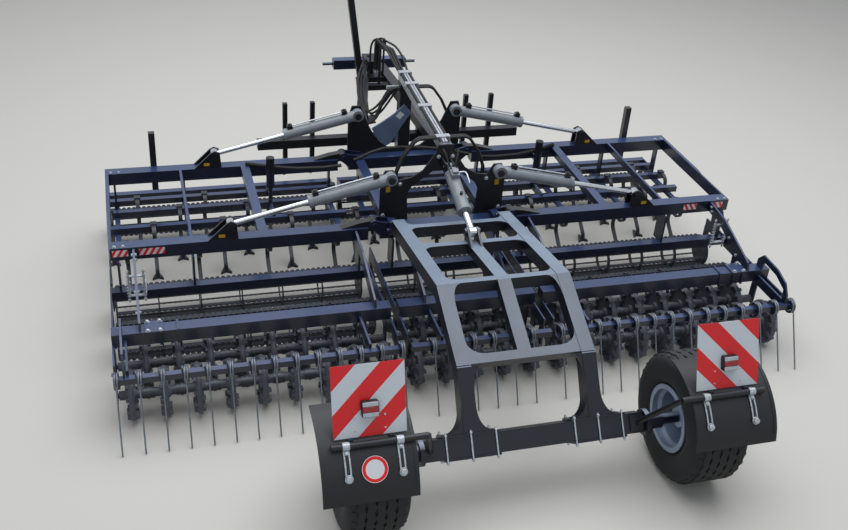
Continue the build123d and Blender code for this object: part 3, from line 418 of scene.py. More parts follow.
# Roller steel, thin anthracite paint over rolled sections, with a painted sky reflection on faces that look
# up.
ROLLER_STEEL = Finish("anthracite_roller_paint", "#31353f", "#272a33", 0.46, metallic=0.2, mottle_mm=50,
                      grain_mm=2.5, relief=0.15, uneven=0.1, sky_sheen=0.4, sky_sheen_colour="#5d636e")
# Cast rings, sand-cast skin under dark grey paint, with a painted sky reflection on faces that look up.
CAST_RING = Finish("painted_sand_casting", "#50545f", "#3c3f49", 0.55, metallic=0.15, mottle_mm=25,
                   grain_mm=2.5, relief=0.35, uneven=0.12, sky_sheen=0.3, sky_sheen_colour="#565b66")
# Wheel rim enamel, silver with a blue cast.
RIM_SILVER = Finish("silver_rim_enamel", "#8d9cb4", "#7f8ea6", 0.34, metallic=0.35, mottle_mm=60,
                    grain_mm=3, relief=0.05, uneven=0.08)
# Tyre rubber, moulded: black and dull, with a faint painted sky reflection on faces that look up.
TYRE_RUBBER = Finish("moulded_tyre_rubber", "#0e0f12", "#15161a", 0.75, mottle_mm=70, grain_mm=2,
                     relief=0.2, uneven=0.1, sky_sheen=0.12)
# Mudguard plastic, moulded polyethylene: black with a soft sheen, part of it a painted sky reflection on
# faces that look up.
GUARD_PLASTIC = Finish("moulded_black_plastic", "#090a0e", "#0e0f14", 0.5, mottle_mm=150, grain_mm=1.5,
                       relief=0.15, uneven=0.08, sky_sheen=0.15, sky_sheen_colour="#343a48")
# Polycarbonate lamp lenses, moulded: glossy, faintly ribbed.
CLEAR_LENS = Finish("clear_polycarbonate_lens", "#b9c2cc", "#a9b3bf", 0.18, mottle_mm=20, grain_mm=3,
                    relief=0.3, uneven=0.06, coat=0.6)
RED_LENS = Finish("red_polycarbonate_lens", "#a3141a", "#8d1016", 0.18, mottle_mm=20, grain_mm=3,
                  relief=0.3, uneven=0.06, coat=0.6)
# Hydraulic hose, extruded rubber cover: black, slight sheen.
HOSE_RUBBER = Finish("hose_rubber_cover", "#06070a", "#0b0c10", 0.58, mottle_mm=40, grain_mm=2,
                     relief=0.15, uneven=0.1)
# Vinyl labels, left blank: yellow and white with a soft gloss.
YELLOW_LABEL = Finish("yellow_vinyl_blank", "#c9a01e", "#b8921a", 0.35, mottle_mm=20, grain_mm=2,
                      relief=0.05, uneven=0.06, coat=0.3)
WHITE_LABEL = Finish("white_vinyl_blank", "#d3dbe2", "#c6ced6", 0.35, mottle_mm=20, grain_mm=2,
                     relief=0.05, uneven=0.06, coat=0.3)
# Retroreflective film with fine cells under a clear top, cut in slanted bands.
PANEL_SHEET = StripedSheet("reflective_panel_film", (-3.5545, 0.0, -3.8), 9.4328)
STRIP_SHEET = StripedSheet("reflective_strip_film", (-22.0, 0.0, -13.0), 0.2)
SIGN_FILM = RingSheet("reflective_sign_film", (-1.127, -2.5726, 0.7090), 0.054, 0.072)


def finish_of(node: str) -> Surface:
    """Chooses the finish of a CAD node by its name.

    Args:
        node: Name of the node.

    Returns:
        The finish that it wears.
    """
    rules: tuple[tuple[tuple[str, ...], Surface], ...] = (
        (("warning_panels",), PANEL_SHEET),
        (("round_sign",), SIGN_FILM),
        (("hose",), HOSE_RUBBER),
        (("tyre",), TYRE_RUBBER),
        (("rim",), RIM_SILVER),
        (("mudguards",), GUARD_PLASTIC),
        (("barrel",), CYLINDER_GREY),
        (("fold_rods", "lift_rod"), HARD_CHROME),
        (("boom",), HOT_DIP_ZINC),
        (("tines",), TINE_BLACK),
        (("harrow",), NAVY_ENAMEL),
        (("ring_roller",), CAST_RING),
        (("wing_frame",), WING_ENAMEL),
        (("roller_frame", "tine_frame", "centre_frame", "hitch"), NAVY_ENAMEL),
        (("roller",), ROLLER_STEEL),
        (("lift_frame",), SKY_LIT_LIFT_ENAMEL),
    )
    for words, finish in rules:
        if any(word in node for word in words):
            return finish
    return BLACK_POWDER


def plane_at(origin: Sequence[float], ahead: Sequence[float], across: Sequence[float]) -> Matrix:
    """Makes a working plane.

    Args:
        origin: Its zero point.
        ahead: Direction that its Z looks in.
        across: Direction near its X.

    Returns:
        The matrix from the plane to the machine.
    """
    z = Vector(ahead).normalized()
    x = Vector(across)
    x = (x - z * x.dot(z)).normalized()
    y = z.cross(x)
    return Matrix.Translation(Vector(origin)) @ Matrix((x, y, z)).transposed().to_4x4()


def plane_along(origin: Sequence[float], ahead: Sequence[float]) -> Matrix:
    """Makes a working plane across a direction.

    Args:
        origin: Its zero point.
        ahead: Direction that its Z looks in.

    Returns:
        The matrix from the plane to the machine.
    """
    z = Vector(ahead).normalized()
    across = Vector((1, 0, 0)) if abs(z.x) < 0.9 else Vector((0, 1, 0))
    return plane_at(origin, z, across)


def side_plane(x: float, y: float, z: float) -> Matrix:
    """Makes a working plane that looks along the machine's X and has its own X along Y.

    Args:
        x: Place of its zero point across the machine.
        y: Place along the machine.
        z: Height.

    Returns:
        The matrix from the plane to the machine.
    """
    return plane_at((x, y, z), (1, 0, 0), (0, 1, 0))


def moved(plane: Matrix, x: float = 0.0, y: float = 0.0, z: float = 0.0) -> Matrix:
    """Moves a working plane's zero point.

    Args:
        plane: Working plane.
        x: Distance along its X.
        y: Distance along its Y.
        z: Distance along its Z.

    Returns:
        The moved plane.
    """
    return plane @ Matrix.Translation((x, y, z))


class Shape:
    """Forged, cut and turned forms gathered into one mesh, in metres."""

    def __init__(self) -> None:
        """Starts with an empty mesh."""
        self.mesh = bmesh.new()

    def ring(self, points: Iterable[Sequence[float]], plane: Matrix) -> list[bmesh.types.BMVert]:
        """Adds loose corners.

        Args:
            points: Their places in the plane.
            plane: Working plane.

        Returns:
            The corners in their order.
        """
        return [self.mesh.verts.new(plane @ Vector(point)) for point in points]

    def join(self, rings: Sequence[list[bmesh.types.BMVert]]) -> None:
        """Joins closed rings of corners, each with the next, by faces.

        Args:
            rings: Rings with the same number of corners.
        """
        for here, there in zip(rings, rings[1:]):
            for k in range(len(here)):
                n = (k + 1) % len(here)
                self.mesh.faces.new((here[k], here[n], there[n], there[k]))

    def close(self, rings: Sequence[list[bmesh.types.BMVert]]) -> None:
        """Closes both ends of joined rings.

        Args:
            rings: Rings from one end to the other.
        """
        self.mesh.faces.new(list(reversed(rings[0])))
        self.mesh.faces.new(rings[-1])

    def prism(self, outline: Sequence[Pair], plane: Matrix, depth: float) -> None:
        """Adds a plate.

        Args:
            outline: Corners in the plane.
            plane: Working plane of the first face.
            depth: Thickness along the plane's Z.
        """
        ends = [self.ring([(x, y, z) for x, y in outline], plane) for z in (0, depth)]
        self.close(ends)
        self.join(ends)

    def block(self, low: Sequence[float], high: Sequence[float]) -> None:
        """Adds a block.

        Args:
            low: One corner.
            high: The opposite corner.
        """
        x0, y0, z0 = (min(a, b) for a, b in zip(low, high))
        x1, y1, z1 = (max(a, b) for a, b in zip(low, high))
        plane = Matrix.Translation((0, 0, z0))
        self.prism([(x0, y0), (x1, y0), (x1, y1), (x0, y1)], plane, z1 - z0)

    def slab(self, plane: Matrix, size: Sequence[float], middle: Sequence[float] = (0.0, 0.0)) -> None:
        """Adds a block on a working plane.

        Args:
            plane: Working plane of its foot.
            size: Length along X and Y, and height.
            middle: Middle of its foot in the plane.
        """
        a, b = size[0] / 2, size[1] / 2
        x, y = middle
        self.prism([(x - a, y - b), (x + a, y - b), (x + a, y + b), (x - a, y + b)], plane, size[2])

    def lathe(self, profile: Sequence[Pair], plane: Matrix, steps: int = 24) -> None:
        """Adds a turned form.

        Args:
            profile: Radius and height of each point; the ends close on themselves.
            plane: Its Z is the turning axis.
            steps: Number of facets round it.
        """
        turns = [2 * math.pi * k / steps for k in range(steps)]
        rings = [
            self.ring([(r * math.cos(a), r * math.sin(a), h) for r, h in profile], plane)
            for a in turns
        ]
        self.join([*rings, rings[0]])

    def collar(self, plane: Matrix, bore: float, radius: float, length: float) -> None:
        """Adds a turned sleeve with broken edges on a barrel.

        Args:
            plane: Working plane of its first face.
            bore: Inner radius.
            radius: Outer radius.
            length: Its length.
        """
        edge = 0.002
        self.lathe([(bore, 0), (radius, edge), (radius, length - edge), (bore, length)], plane, 28)

    def disc(self, plane: Matrix, radius: float, depth: float, steps: int = 20, edge: float = 0.0) -> None:
        """Adds a round plate.

        Args:
            plane: Working plane of its first face.
            radius: Radius of the plate.
            depth: Its thickness.
            steps: Number of facets round it.
            edge: Width of the chamfer on its far face.
        """
        turns = [2 * math.pi * k / steps for k in range(steps)]
        levels = [(radius, 0.0), (radius, depth - edge)]
        if edge:
            levels.append((radius - edge, depth))
        rings = [
            self.ring([(r * math.cos(a), r * math.sin(a), h) for a in turns], plane)
            for r, h in levels
        ]
        self.close(rings)
        self.join(rings)

    def tube(self, points: Sequence[Sequence[float]], radius: float, sides: int = 10) -> None:
        """Adds a bent round bar.

        Args:
            points: Points along its middle.
            radius: Radius of the bar.
            sides: Number of facets round it.
        """
        path = [Vector(point) for point in points]
        last = Vector((0, 0, 0))
        rings = []
        for k, point in enumerate(path):
            before = path[max(k - 1, 0)]
            after = path[min(k + 1, len(path) - 1)]
            ahead = (after - before).normalized()
            if k == 0:
                last = ahead.orthogonal().normalized()
            last = (last - ahead * last.dot(ahead)).normalized()
            side = ahead.cross(last)
            rings.append([
                self.mesh.verts.new(point + last * (radius * math.cos(a)) + side * (radius * math.sin(a)))
                for a in (2 * math.pi * j / sides for j in range(sides))
            ])
        self.close(rings)
        self.join(rings)

    def bolt(self, place: Sequence[float], facing: Sequence[float], across: float = 0.024,
             washer: bool = True) -> None:
        """Adds a hexagon head on its washer.

        Args:
            place: Point on the face that it clamps.
            facing: Direction that the head looks in.
            across: Width across the flats.
            washer: Whether a washer lies under it.
        """
        plane = plane_along(place, facing)
        if washer:
            self.disc(plane, across * 0.72, across * 0.12, 16)
            plane = moved(plane, z=across * 0.12)
        corner_radius = across * 0.577
        self.disc(plane, corner_radius, across * 0.5, 6, across * 0.08)

    def arc_strip(self, plane: Matrix, radius: float, start: float, end: float, width: float,
                  thick: float, steps: int = 16) -> None:
        """Adds a bent flat strip.

        Args:
            plane: Its Z is the bending axis, and the strip starts at Z = 0.
            radius: Inner radius.
            start: First angle in degrees.
            end: Last angle in degrees.
            width: Width along the axis.
            thick: Thickness outwards.
            steps: Number of facets along it.
        """
        angles = [math.radians(start + (end - start) * k / steps) for k in range(steps + 1)]
        inner = [(radius * math.cos(a), radius * math.sin(a)) for a in angles]
        far = radius + thick
        outer = [(far * math.cos(a), far * math.sin(a)) for a in reversed(angles)]
        for k in range(steps):
            corners = [inner[k], inner[k + 1], outer[steps - k - 1], outer[steps - k]]
            self.prism(corners, plane, width)

    def finish(self, name: str, body: str, look: Surface, slot: str, round_edges: float = 0.0,
               smooth: float = 35.0) -> bpy.types.Object:
        """Turns the mesh into a piece of the scene.

        Args:
            name: Name of the piece.
            body: CAD body that it rides on.
            look: Finish that it wears.
            slot: Material slot of the record; not used.
            round_edges: Width of the broken edges.
            smooth: Angle in degrees below which faces blend.

        Returns:
            The new object.
        """
        bmesh.ops.recalc_face_normals(self.mesh, faces=self.mesh.faces)
        mesh = bpy.data.meshes.new(name)
        self.mesh.to_mesh(mesh)
        self.mesh.free()
        piece = bpy.data.objects.new(name, mesh)
        bpy.context.scene.collection.objects.link(piece)
        mesh.materials.append(look.material())
        if round_edges:
            bevel = piece.modifiers.new("broken_edges", "BEVEL")
            bevel.width = round_edges
            bevel.segments = 1
            bevel.limit_method = "ANGLE"
            bevel.angle_limit = math.radians(40)
        mesh.shade_smooth()
        mesh.set_sharp_from_angle(angle=math.radians(smooth))
        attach(piece, body)
        LOG.info("built %s on %s", name, body)
        return piece


@dataclass
class Studio:
    """Camera, floor and light."""

    eye: Point = (-2.2474, -6.654, 4.7038)
    ahead: Point = (0.2597, 0.8078, -0.5292)
    up: Point = (0.088, 0.526, 0.8459)
    lens_mm: float = 43.593
    floor_half: float = 40.0

    def build(self) -> None:
        """Sets up the camera, the floor, the lamps and the world."""
        self.camera()
        self.floor()
        self.lamps()
        self.world()
        bpy.context.scene.view_settings.view_transform = "Standard"

    def camera(self) -> None:
        """Places the camera at the photograph's viewing angle."""
        data = bpy.data.cameras.new("camera")
        data.lens = self.lens_mm
        data.sensor_width = 36
        data.clip_end = 200
        camera = bpy.data.objects.new("camera", data)
        bpy.context.scene.collection.objects.link(camera)
        back = -Vector(self.ahead).normalized()
        right = Vector(self.up).cross(back).normalized()
        top = back.cross(right)
        turn = Matrix((right, top, back)).transposed()
        camera.matrix_world = Matrix.Translation(self.eye) @ turn.to_4x4()
        bpy.context.scene.camera = camera

    def floor(self) -> None:
        """Lays a plain pale floor that keeps the shadow."""
        mesh = bpy.data.meshes.new("floor")
        half = self.floor_half
        mesh.from_pydata([(-half, -half, 0), (half, -half, 0), (half, half, 0), (-half, half, 0)],
                         [], [(0, 1, 2, 3)])
        floor = bpy.data.objects.new("floor", mesh)
        bpy.context.scene.collection.objects.link(floor)
        material = bpy.data.materials.new("pale_floor")
        material.use_nodes = True
        shader = material.node_tree.nodes["Principled BSDF"]
        shader.inputs["Base Color"].default_value = linear("#c9c8c4")
        shader.inputs["Roughness"].default_value = 0.9
        mesh.materials.append(material)

    def lamps(self) -> None:
        """Hangs one broad soft lamp overhead and a weaker one behind the camera."""
        for name, place, size, power in (
            ("overhead", (0.5, 1.0, 9.0), 12.0, 1120.0),
            ("fill", (-6.0, -9.0, 7.0), 6.0, 110.0),
        ):
            data = bpy.data.lights.new(name, "AREA")
            data.shape = "SQUARE"
            data.size = size
            data.energy = power
            lamp = bpy.data.objects.new(name, data)
            lamp.location = place
            aim = Vector((0, 0, 0.5)) - Vector(place)
            lamp.rotation_euler = aim.to_track_quat("-Z", "Y").to_euler()
            bpy.context.scene.collection.objects.link(lamp)

    def world(self) -> None:
        """Lights the scene from all round with a pale sky."""
        world = bpy.data.worlds.new("sky")
        world.use_nodes = True
        world.node_tree.nodes.clear()
        graph = Graph(world.node_tree)
        rays = graph.add("LightPath")
        seen = graph.math("MAXIMUM", rays["Is Camera Ray"], rays["Is Glossy Ray"])
        strength = graph.ranged(graph.math("MAXIMUM", seen, rays["Is Transmission Ray"]), 0.34, 0.85)
        sky = graph.add("Background", {"Color": linear("#dfe4ea"), "Strength": strength})["Background"]
        graph.add("OutputWorld", {"Surface": sky})
        bpy.context.scene.world = world


@dataclass
class Wheel:
    """Tyre with zigzag ribs and the bolts of its rim."""

    side: Side
    centre: Point = (1.092, -2.205, 0.432)
    crown: float = 0.432
    groove: float = 0.011
    ribs: tuple[Pair, ...] = (
        (-0.136, -0.094), (-0.084, -0.034), (-0.024, 0.024), (0.034, 0.084), (0.094, 0.136),
    )
    sidewall: tuple[Pair, ...] = (
        (0.2055, 0.148), (0.218, 0.156), (0.232, 0.161), (0.238, 0.170), (0.262, 0.184),
        (0.310, 0.194), (0.350, 0.192), (0.378, 0.186), (0.402, 0.172),
    )
    shoulder: Pair = (0.409, 0.150)
    shoulder_block: Point = (0.026, 0.030, 0.010)
    steps: int = 64
    zigzag: float = 0.006
    beads: tuple[Pair, ...] = ((0.2215, -0.176), (0.196, -0.150), (0.178, -0.112))
    bead_radius: float = 0.004
    bolts: int = 8
    bolt_circle: float = 0.095
    cap: tuple[Pair, ...] = (
        (0.0005, 0.0), (0.056, 0.0), (0.056, 0.020), (0.048, 0.032), (0.0005, 0.036),
    )

    @property
    def body(self) -> str:
        """CAD body that the wheel's pieces ride on."""
        return f"{self.side.word}_wheel"

    def axis(self, along: float = 0.0) -> Matrix:
        """Gives a plane across the wheel's axis that looks outwards.

        Args:
            along: Distance from the wheel's middle.

        Returns:
            The working plane.
        """
        x, y, z = self.centre
        return plane_at((self.side * (x + along), y, z), (self.side, 0, 0), (0, 1, 0))

    def build(self) -> None:
        """Builds the tyre and the rim's details."""
        self.tyre()
        self.rim_rings()
        self.hub_bolts()

    def tyre(self) -> None:
        """Builds the carcass with its ribs and shoulder blocks, in place of the plain solid."""
        shape = Shape()
        base = self.crown - self.groove
        half = [*self.sidewall, (base - 0.004, 0.150), (base, 0.138)]
        profile = [(r, -x) for r, x in half] + [(r, x) for r, x in reversed(half)]
        shape.lathe(profile, self.axis(), 72)
        for number, (low, high) in enumerate(self.ribs):
            self.rib(shape, low, high, base, number % 2)
        blocks = self.steps // 2
        radius, along = self.shoulder
        for way in (-1, 1):
            for k in range(blocks):
                plane = self.axis() @ Matrix.Rotation(2 * math.pi * k / blocks, 4, "Z")
                place = plane @ plane_at((radius, 0, way * along), (0.93, 0, way * 0.36), (0, 1, 0))
                shape.slab(place, self.shoulder_block)
        tyre = shape.finish(f"{self.side.word}_tyre_tread", self.body, TYRE_RUBBER, "tyre_rubber")
        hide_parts(f"{self.side.word}_tyre")

    def rib(self, shape: Shape, low: float, high: float, base: float, phase: int) -> None:
        """Adds one rib that winds from side to side.

        Args:
            shape: Mesh that gets the rib.
            low: Its inner edge along the axis.
            high: Its outer edge.
            base: Radius of the grooves.
            phase: 0 or 1, the way its first step leans.
        """
        plane = self.axis()
        rings = []
        for k in range(self.steps):
            turn = 2 * math.pi * k / self.steps
            lean = self.zigzag * (1 if (k + phase) % 2 else -1)
            ring = []
            for x, radius in ((low - 0.002, base - 0.001), (low, self.crown), (high, self.crown),
                              (high + 0.002, base - 0.001)):
                ring.append((radius * math.cos(turn), radius * math.sin(turn), x + lean))
            rings.append(shape.ring(ring, plane))
        for k in range(self.steps):
            here, there = rings[k], rings[(k + 1) % self.steps]
            for j in range(3):
                shape.mesh.faces.new((here[j], there[j], there[j + 1], here[j + 1]))

    def rim_rings(self) -> None:
        """Adds the rolled beads that catch the light inside the rim."""
        shape = Shape()
        turns = [2 * math.pi * k / 8 for k in range(8)]
        size = self.bead_radius
        for radius, along in self.beads:
            ring = [(radius + size * math.cos(a), size * math.sin(a)) for a in turns]
            shape.lathe(ring, self.axis(along), 48)
        shape.finish(f"{self.side.word}_rim_beads", self.body, RIM_SILVER, "rim_steel", smooth=60)

    def hub_bolts(self) -> None:
        """Adds the wheel nuts on both faces of the disc and the hub's cap."""
        shape = Shape()
        for k in range(self.bolts):
            turn = 2 * math.pi * k / self.bolts
            place = Vector((self.bolt_circle * math.cos(turn), self.bolt_circle * math.sin(turn), 0))
            shape.bolt(self.axis(0.010) @ place, (self.side, 0, 0), 0.026)
            shape.bolt(self.axis(-0.005) @ place, (-self.side, 0, 0), 0.022, washer=False)
        shape.lathe(self.cap, self.axis(0.070), 24)
        shape.finish(f"{self.side.word}_wheel_nuts", self.body, HOT_DIP_ZINC, "galvanised_steel")


@dataclass
class RingRoller:
    """Lugs on the cast rings of one roller and the sleeves between them."""

    node: str
    places: tuple[float, ...]
    y: float
    radius: float = 0.175
    lugs: int = 22
    tube: float = 0.032
    # Corners of a lug's foot, its height, how far it leans out sideways and how deep it is rooted.
    lug: tuple[Pair, ...] = ((-0.017, -0.014), (0.017, -0.012), (0.017, 0.012), (-0.017, 0.014))
    lug_height: float = 0.038
    lug_offset: float = 0.021
    lug_root: float = 0.046
    # Half length of each sleeve on the tube, and how far it stands out.
    sleeves: tuple[Pair, ...] = ((0.040, 0.006), (0.008, 0.011))

    def build(self) -> None:
        """Builds the lugs and the sleeves."""
        shape = Shape()
        for number, x in enumerate(self.places):
            for k in range(self.lugs):
                turn = math.radians(360 * (k + 0.5 * (number % 2)) / self.lugs)
                way = 1 if k % 2 else -1
                spoke = Matrix.Translation((x, self.y, self.radius)) @ Matrix.Rotation(turn, 4, "X")
                foot = (way * self.lug_offset, 0, self.radius - self.lug_root)
                shape.prism(self.lug, spoke @ plane_at(foot, (0, 0, 1), (1, 0, 0)), self.lug_height)
        shape.finish(f"{self.node}_lugs", self.node, CAST_RING, "cast_iron_ring", 0.0015)
        sleeves = Shape()
        bore = self.tube - 0.004
        for low, high in zip(self.places, self.places[1:]):
            middle = (low + high) / 2
            for half, extra in self.sleeves:
                outer = self.tube + extra
                profile = [(bore, 0), (outer, 0), (outer, 2 * half), (bore, 2 * half)]
                sleeves.lathe(profile, side_plane(middle - half, self.y, self.radius), 20)
        sleeves.finish(f"{self.node}_sleeves", self.node, ROLLER_STEEL, "roller_steel")


@dataclass
class CageRoller:
    """Roller of saw-toothed bars on thin hoops, in place of the plain solid."""

    node: str
    low: float
    high: float
    y: float
    radius: float
    hoops: int
    bars: int = 8
    pitch: float = 0.042
    tooth: float = 0.014

    def build(self) -> None:
        """Builds the bars, hoops, end discs and shaft."""
        shape = Shape()
        first, last = self.low + 0.020, self.high - 0.020
        for k in range(self.bars):
            turn = Matrix.Rotation(2 * math.pi * k / self.bars, 4, "X")
            plane = (
                Matrix.Translation((0, self.y, self.radius)) @ turn
                @ plane_at((0, 0.004, 0), (0, -1, 0), (1, 0, 0))
            )
            self.toothed_bar(shape, plane, first, last)
        step = (last - first - 0.010) / (self.hoops - 1)
        outer = self.radius - 0.014
        for k in range(self.hoops):
            inner = 0.030 if k in (0, self.hoops - 1) else self.radius - 0.052
            profile = [(inner, 0), (outer, 0), (outer, 0.008), (inner, 0.008)]
            shape.lathe(profile, side_plane(first + step * k, self.y, self.radius), 32)
        for start in (self.low, self.high - 0.030):
            shape.disc(side_plane(start, self.y, self.radius), 0.018, 0.030, 16)
        for start in (self.low + 0.014, self.high - 0.026):
            shape.disc(side_plane(start, self.y, self.radius), 0.034, 0.012, 20)
        roller = shape.finish(f"{self.node}_bars", self.node, ROLLER_STEEL, "roller_steel")
        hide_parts(self.node)

    def toothed_bar(self, shape: Shape, plane: Matrix, first: float, last: float) -> None:
        """Adds one flat bar with a saw-toothed outer edge.

        Args:
            shape: Mesh that gets the bar.
            plane: Plane through the axis with X along the bar and Y outwards.
            first: Where the bar starts.
            last: Where it ends.
        """
        count = round((last - first) / self.pitch)
        step = (last - first) / count
        root = self.radius - 0.0015 - self.tooth
        foot = self.radius - 0.040
        for k in range(count):
            x = first + step * k
            shape.prism([
                (x, foot), (x + step, foot), (x + step, root), (x + step * 0.72, root + self.tooth),
                (x + step * 0.28, root + self.tooth), (x, root),
            ], plane, 0.008)


def leg_point(down: float, back: float) -> Pair:
    """Finds a point by the rear face of a leg of the lift frame.

    Args:
        down: Distance down the leg.
        back: Distance behind its rear face.

    Returns:
        The point's y and z.
    """
    return (-1.934 - 0.6 * down - 0.8 * back, 0.833 - 0.8 * down + 0.6 * back)


@dataclass
class Signals:
    """Lamps, rivets and striped strips at the rear."""

    panel: Point = (1.127, -2.432, 0.836)
    lean: float = 20.7
    sheet: float = 0.004
    lamp_up: float = 0.166
    lamp_size: Point = (0.100, 0.095, 0.044)
    lamp_corner: float = 0.008
    rivets: tuple[Pair, ...] = ((-0.088, 0.115), (0.088, 0.115), (-0.088, 0.037), (0.088, 0.037))
    left_strips: tuple[Pair, ...] = ((2.110, 2.292), (2.368, 2.478))
    right_strips: tuple[Pair, ...] = ((2.080, 2.200), (2.368, 2.440))
    strip_faces: Pair = (-0.0905, -0.0920)
    strip_heights: Pair = (0.712, 0.764)

    def face(self, side: Side) -> Matrix:
        """Gives the plane of a panel's rear face, with Y up the panel.

        Args:
            side: Side of the machine.

        Returns:
            The working plane.
        """
        x, y, z = self.panel
        turn = math.radians(self.lean)
        out = Vector((0, -math.cos(turn), math.sin(turn)))
        return plane_at(Vector((side * x, y, z)) + out * self.sheet, out, (1, 0, 0))

    def build(self) -> None:
        """Builds the lamps, rivets and strips."""
        housing, clear, red, rivets = Shape(), Shape(), Shape(), Shape()
        wide, high, deep = self.lamp_size
        x, y, cut = wide / 2, high / 2, self.lamp_corner
        outline = [(-x + cut, -y), (x - cut, -y), (x, -y + cut), (x, y - cut), (x - cut, y), (-x + cut, y),
                   (-x, y - cut), (-x, -y + cut)]
        for side in Side:
            face = self.face(side)
            at = moved(face, y=self.lamp_up)
            housing.prism(outline, at, deep - 0.010)
            for low, top, shape in ((-0.043, -0.018, clear), (-0.016, 0.016, red), (0.018, 0.043, clear)):
                front = moved(at, y=(low + top) / 2, z=deep - 0.010)
                shape.slab(front, (wide - 0.010, top - low, 0.009))
            for across, up in self.rivets:
                rivets.disc(moved(face, across, up), 0.006, 0.003, 12, 0.0015)
        lamp = housing.finish("rear_lamp_housings", "lift", GUARD_PLASTIC, "lamp_lens", 0.002)
        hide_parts("rear_lamps")
        clear.finish("rear_lamp_clear_lenses", "lift", CLEAR_LENS, "lamp_lens", 0.002)
        red.finish("rear_lamp_red_lenses", "lift", RED_LENS, "lamp_lens", 0.002)
        rivets.finish("panel_rivets", "lift", HOT_DIP_ZINC, "galvanised_steel")
        self.beam_strips()

    def beam_strips(self) -> None:
        """Sticks striped strips on the outer ends of the rear wing beams."""
        (near, far), (low, top) = self.strip_faces, self.strip_heights
        for side, strips in ((Side.LEFT, self.left_strips), (Side.RIGHT, self.right_strips)):
            shape = Shape()
            for start, end in strips:
                shape.block((side * start, near, low), (side * end, far, top))
            shape.finish(f"{side.word}_beam_strips", f"{side.word}_wing", STRIP_SHEET, "sign_panel")


@dataclass
class Guards:
    """Beads, straps and clamps of the mudguards."""

    axle: Pair = (-2.205, 0.432)
    shell: float = 0.450
    edges: Pair = (0.874, 1.407)
    edge_width: float = 0.022
    straps: Pair = (0.966, 1.277)
    arm: Pair = (-2.477, 0.818)
    arm_radius: float = 0.020
    strap_half: float = 0.019
    strap_thick: float = 0.004

    def build(self) -> None:
        """Builds the beads and the zinc parts."""
        beads, zinc = Shape(), Shape()
        for side in Side:
            for edge in self.edges:
                plane = side_plane(min(side * edge, side * (edge + self.edge_width)), *self.axle)
                beads.arc_strip(plane, self.shell - 0.0005, 85.5, 160, self.edge_width, 0.0035, 24)
            for x in self.straps:
                self.strap(zinc, side * x)
        beads.finish("mudguard_beads", "lift", GUARD_PLASTIC, "black_plastic", smooth=30)
        zinc.finish("mudguard_straps", "lift", HOT_DIP_ZINC, "galvanised_steel", 0.001)

    def strap(self, shape: Shape, x: float) -> None:
        """Adds one slotted strap with its saddle on the arm and its washer.

        Args:
            shape: Mesh that gets the strap.
            x: Middle of the strap.
        """
        radius = self.shell + 0.0056
        half, thick = self.strap_half, self.strap_thick
        for low in (x - half, x + half - 0.010):
            shape.arc_strip(side_plane(low, *self.axle), radius, 127.5, 147, 0.010, thick, 10)
        for start, end in ((124, 130), (145, 149)):
            shape.arc_strip(side_plane(x - half, *self.axle), radius, start, end, 2 * half, thick, 3)
        saddle = side_plane(x - 0.021, *self.arm)
        shape.arc_strip(saddle, self.arm_radius + 0.0005, 20, 250, 0.042, thick, 14)
        y, z = self.axle
        reach = radius + thick
        for turn, across in ((147.5, 0.034), (129.5, 0.020)):
            out = (0.0, math.cos(math.radians(turn)), math.sin(math.radians(turn)))
            shape.bolt((x, y + out[1] * reach, z + out[2] * reach), out, across)


@dataclass
class AxleDetails:
    """Tie rods and nuts that clamp the legs' plates round the axle beam."""

    places: tuple[float, ...] = (0.262, 0.425, 0.588)
    clamp: float = 0.405
    plate: float = 0.012
    beam: float = 0.130
    rod: float = 0.0065
    stand_off: float = 0.0075

    def build(self) -> None:
        """Builds the rods behind and before the beam with their nuts."""
        rods, nuts = Shape(), Shape()
        low = self.clamp + 2 * self.plate + self.beam
        up, down = Vector((0, 0.6, 0.8)), Vector((0, -0.6, -0.8))
        for side in Side:
            for x in self.places:
                for back in (self.stand_off, -self.beam - self.stand_off):
                    rods.tube([
                        (side * x, *leg_point(self.clamp - 0.020, back)),
                        (side * x, *leg_point(low + 0.022, back)),
                    ], self.rod)
                    for place, facing in ((self.clamp, up), (low, down)):
                        nuts.bolt((side * x, *leg_point(place, back)), facing, 0.020, False)
        rods.finish("axle_tie_rods", "lift", HOT_DIP_ZINC, "galvanised_steel")
        nuts.finish("axle_clamp_nuts", "lift", HOT_DIP_ZINC, "galvanised_steel", smooth=30)


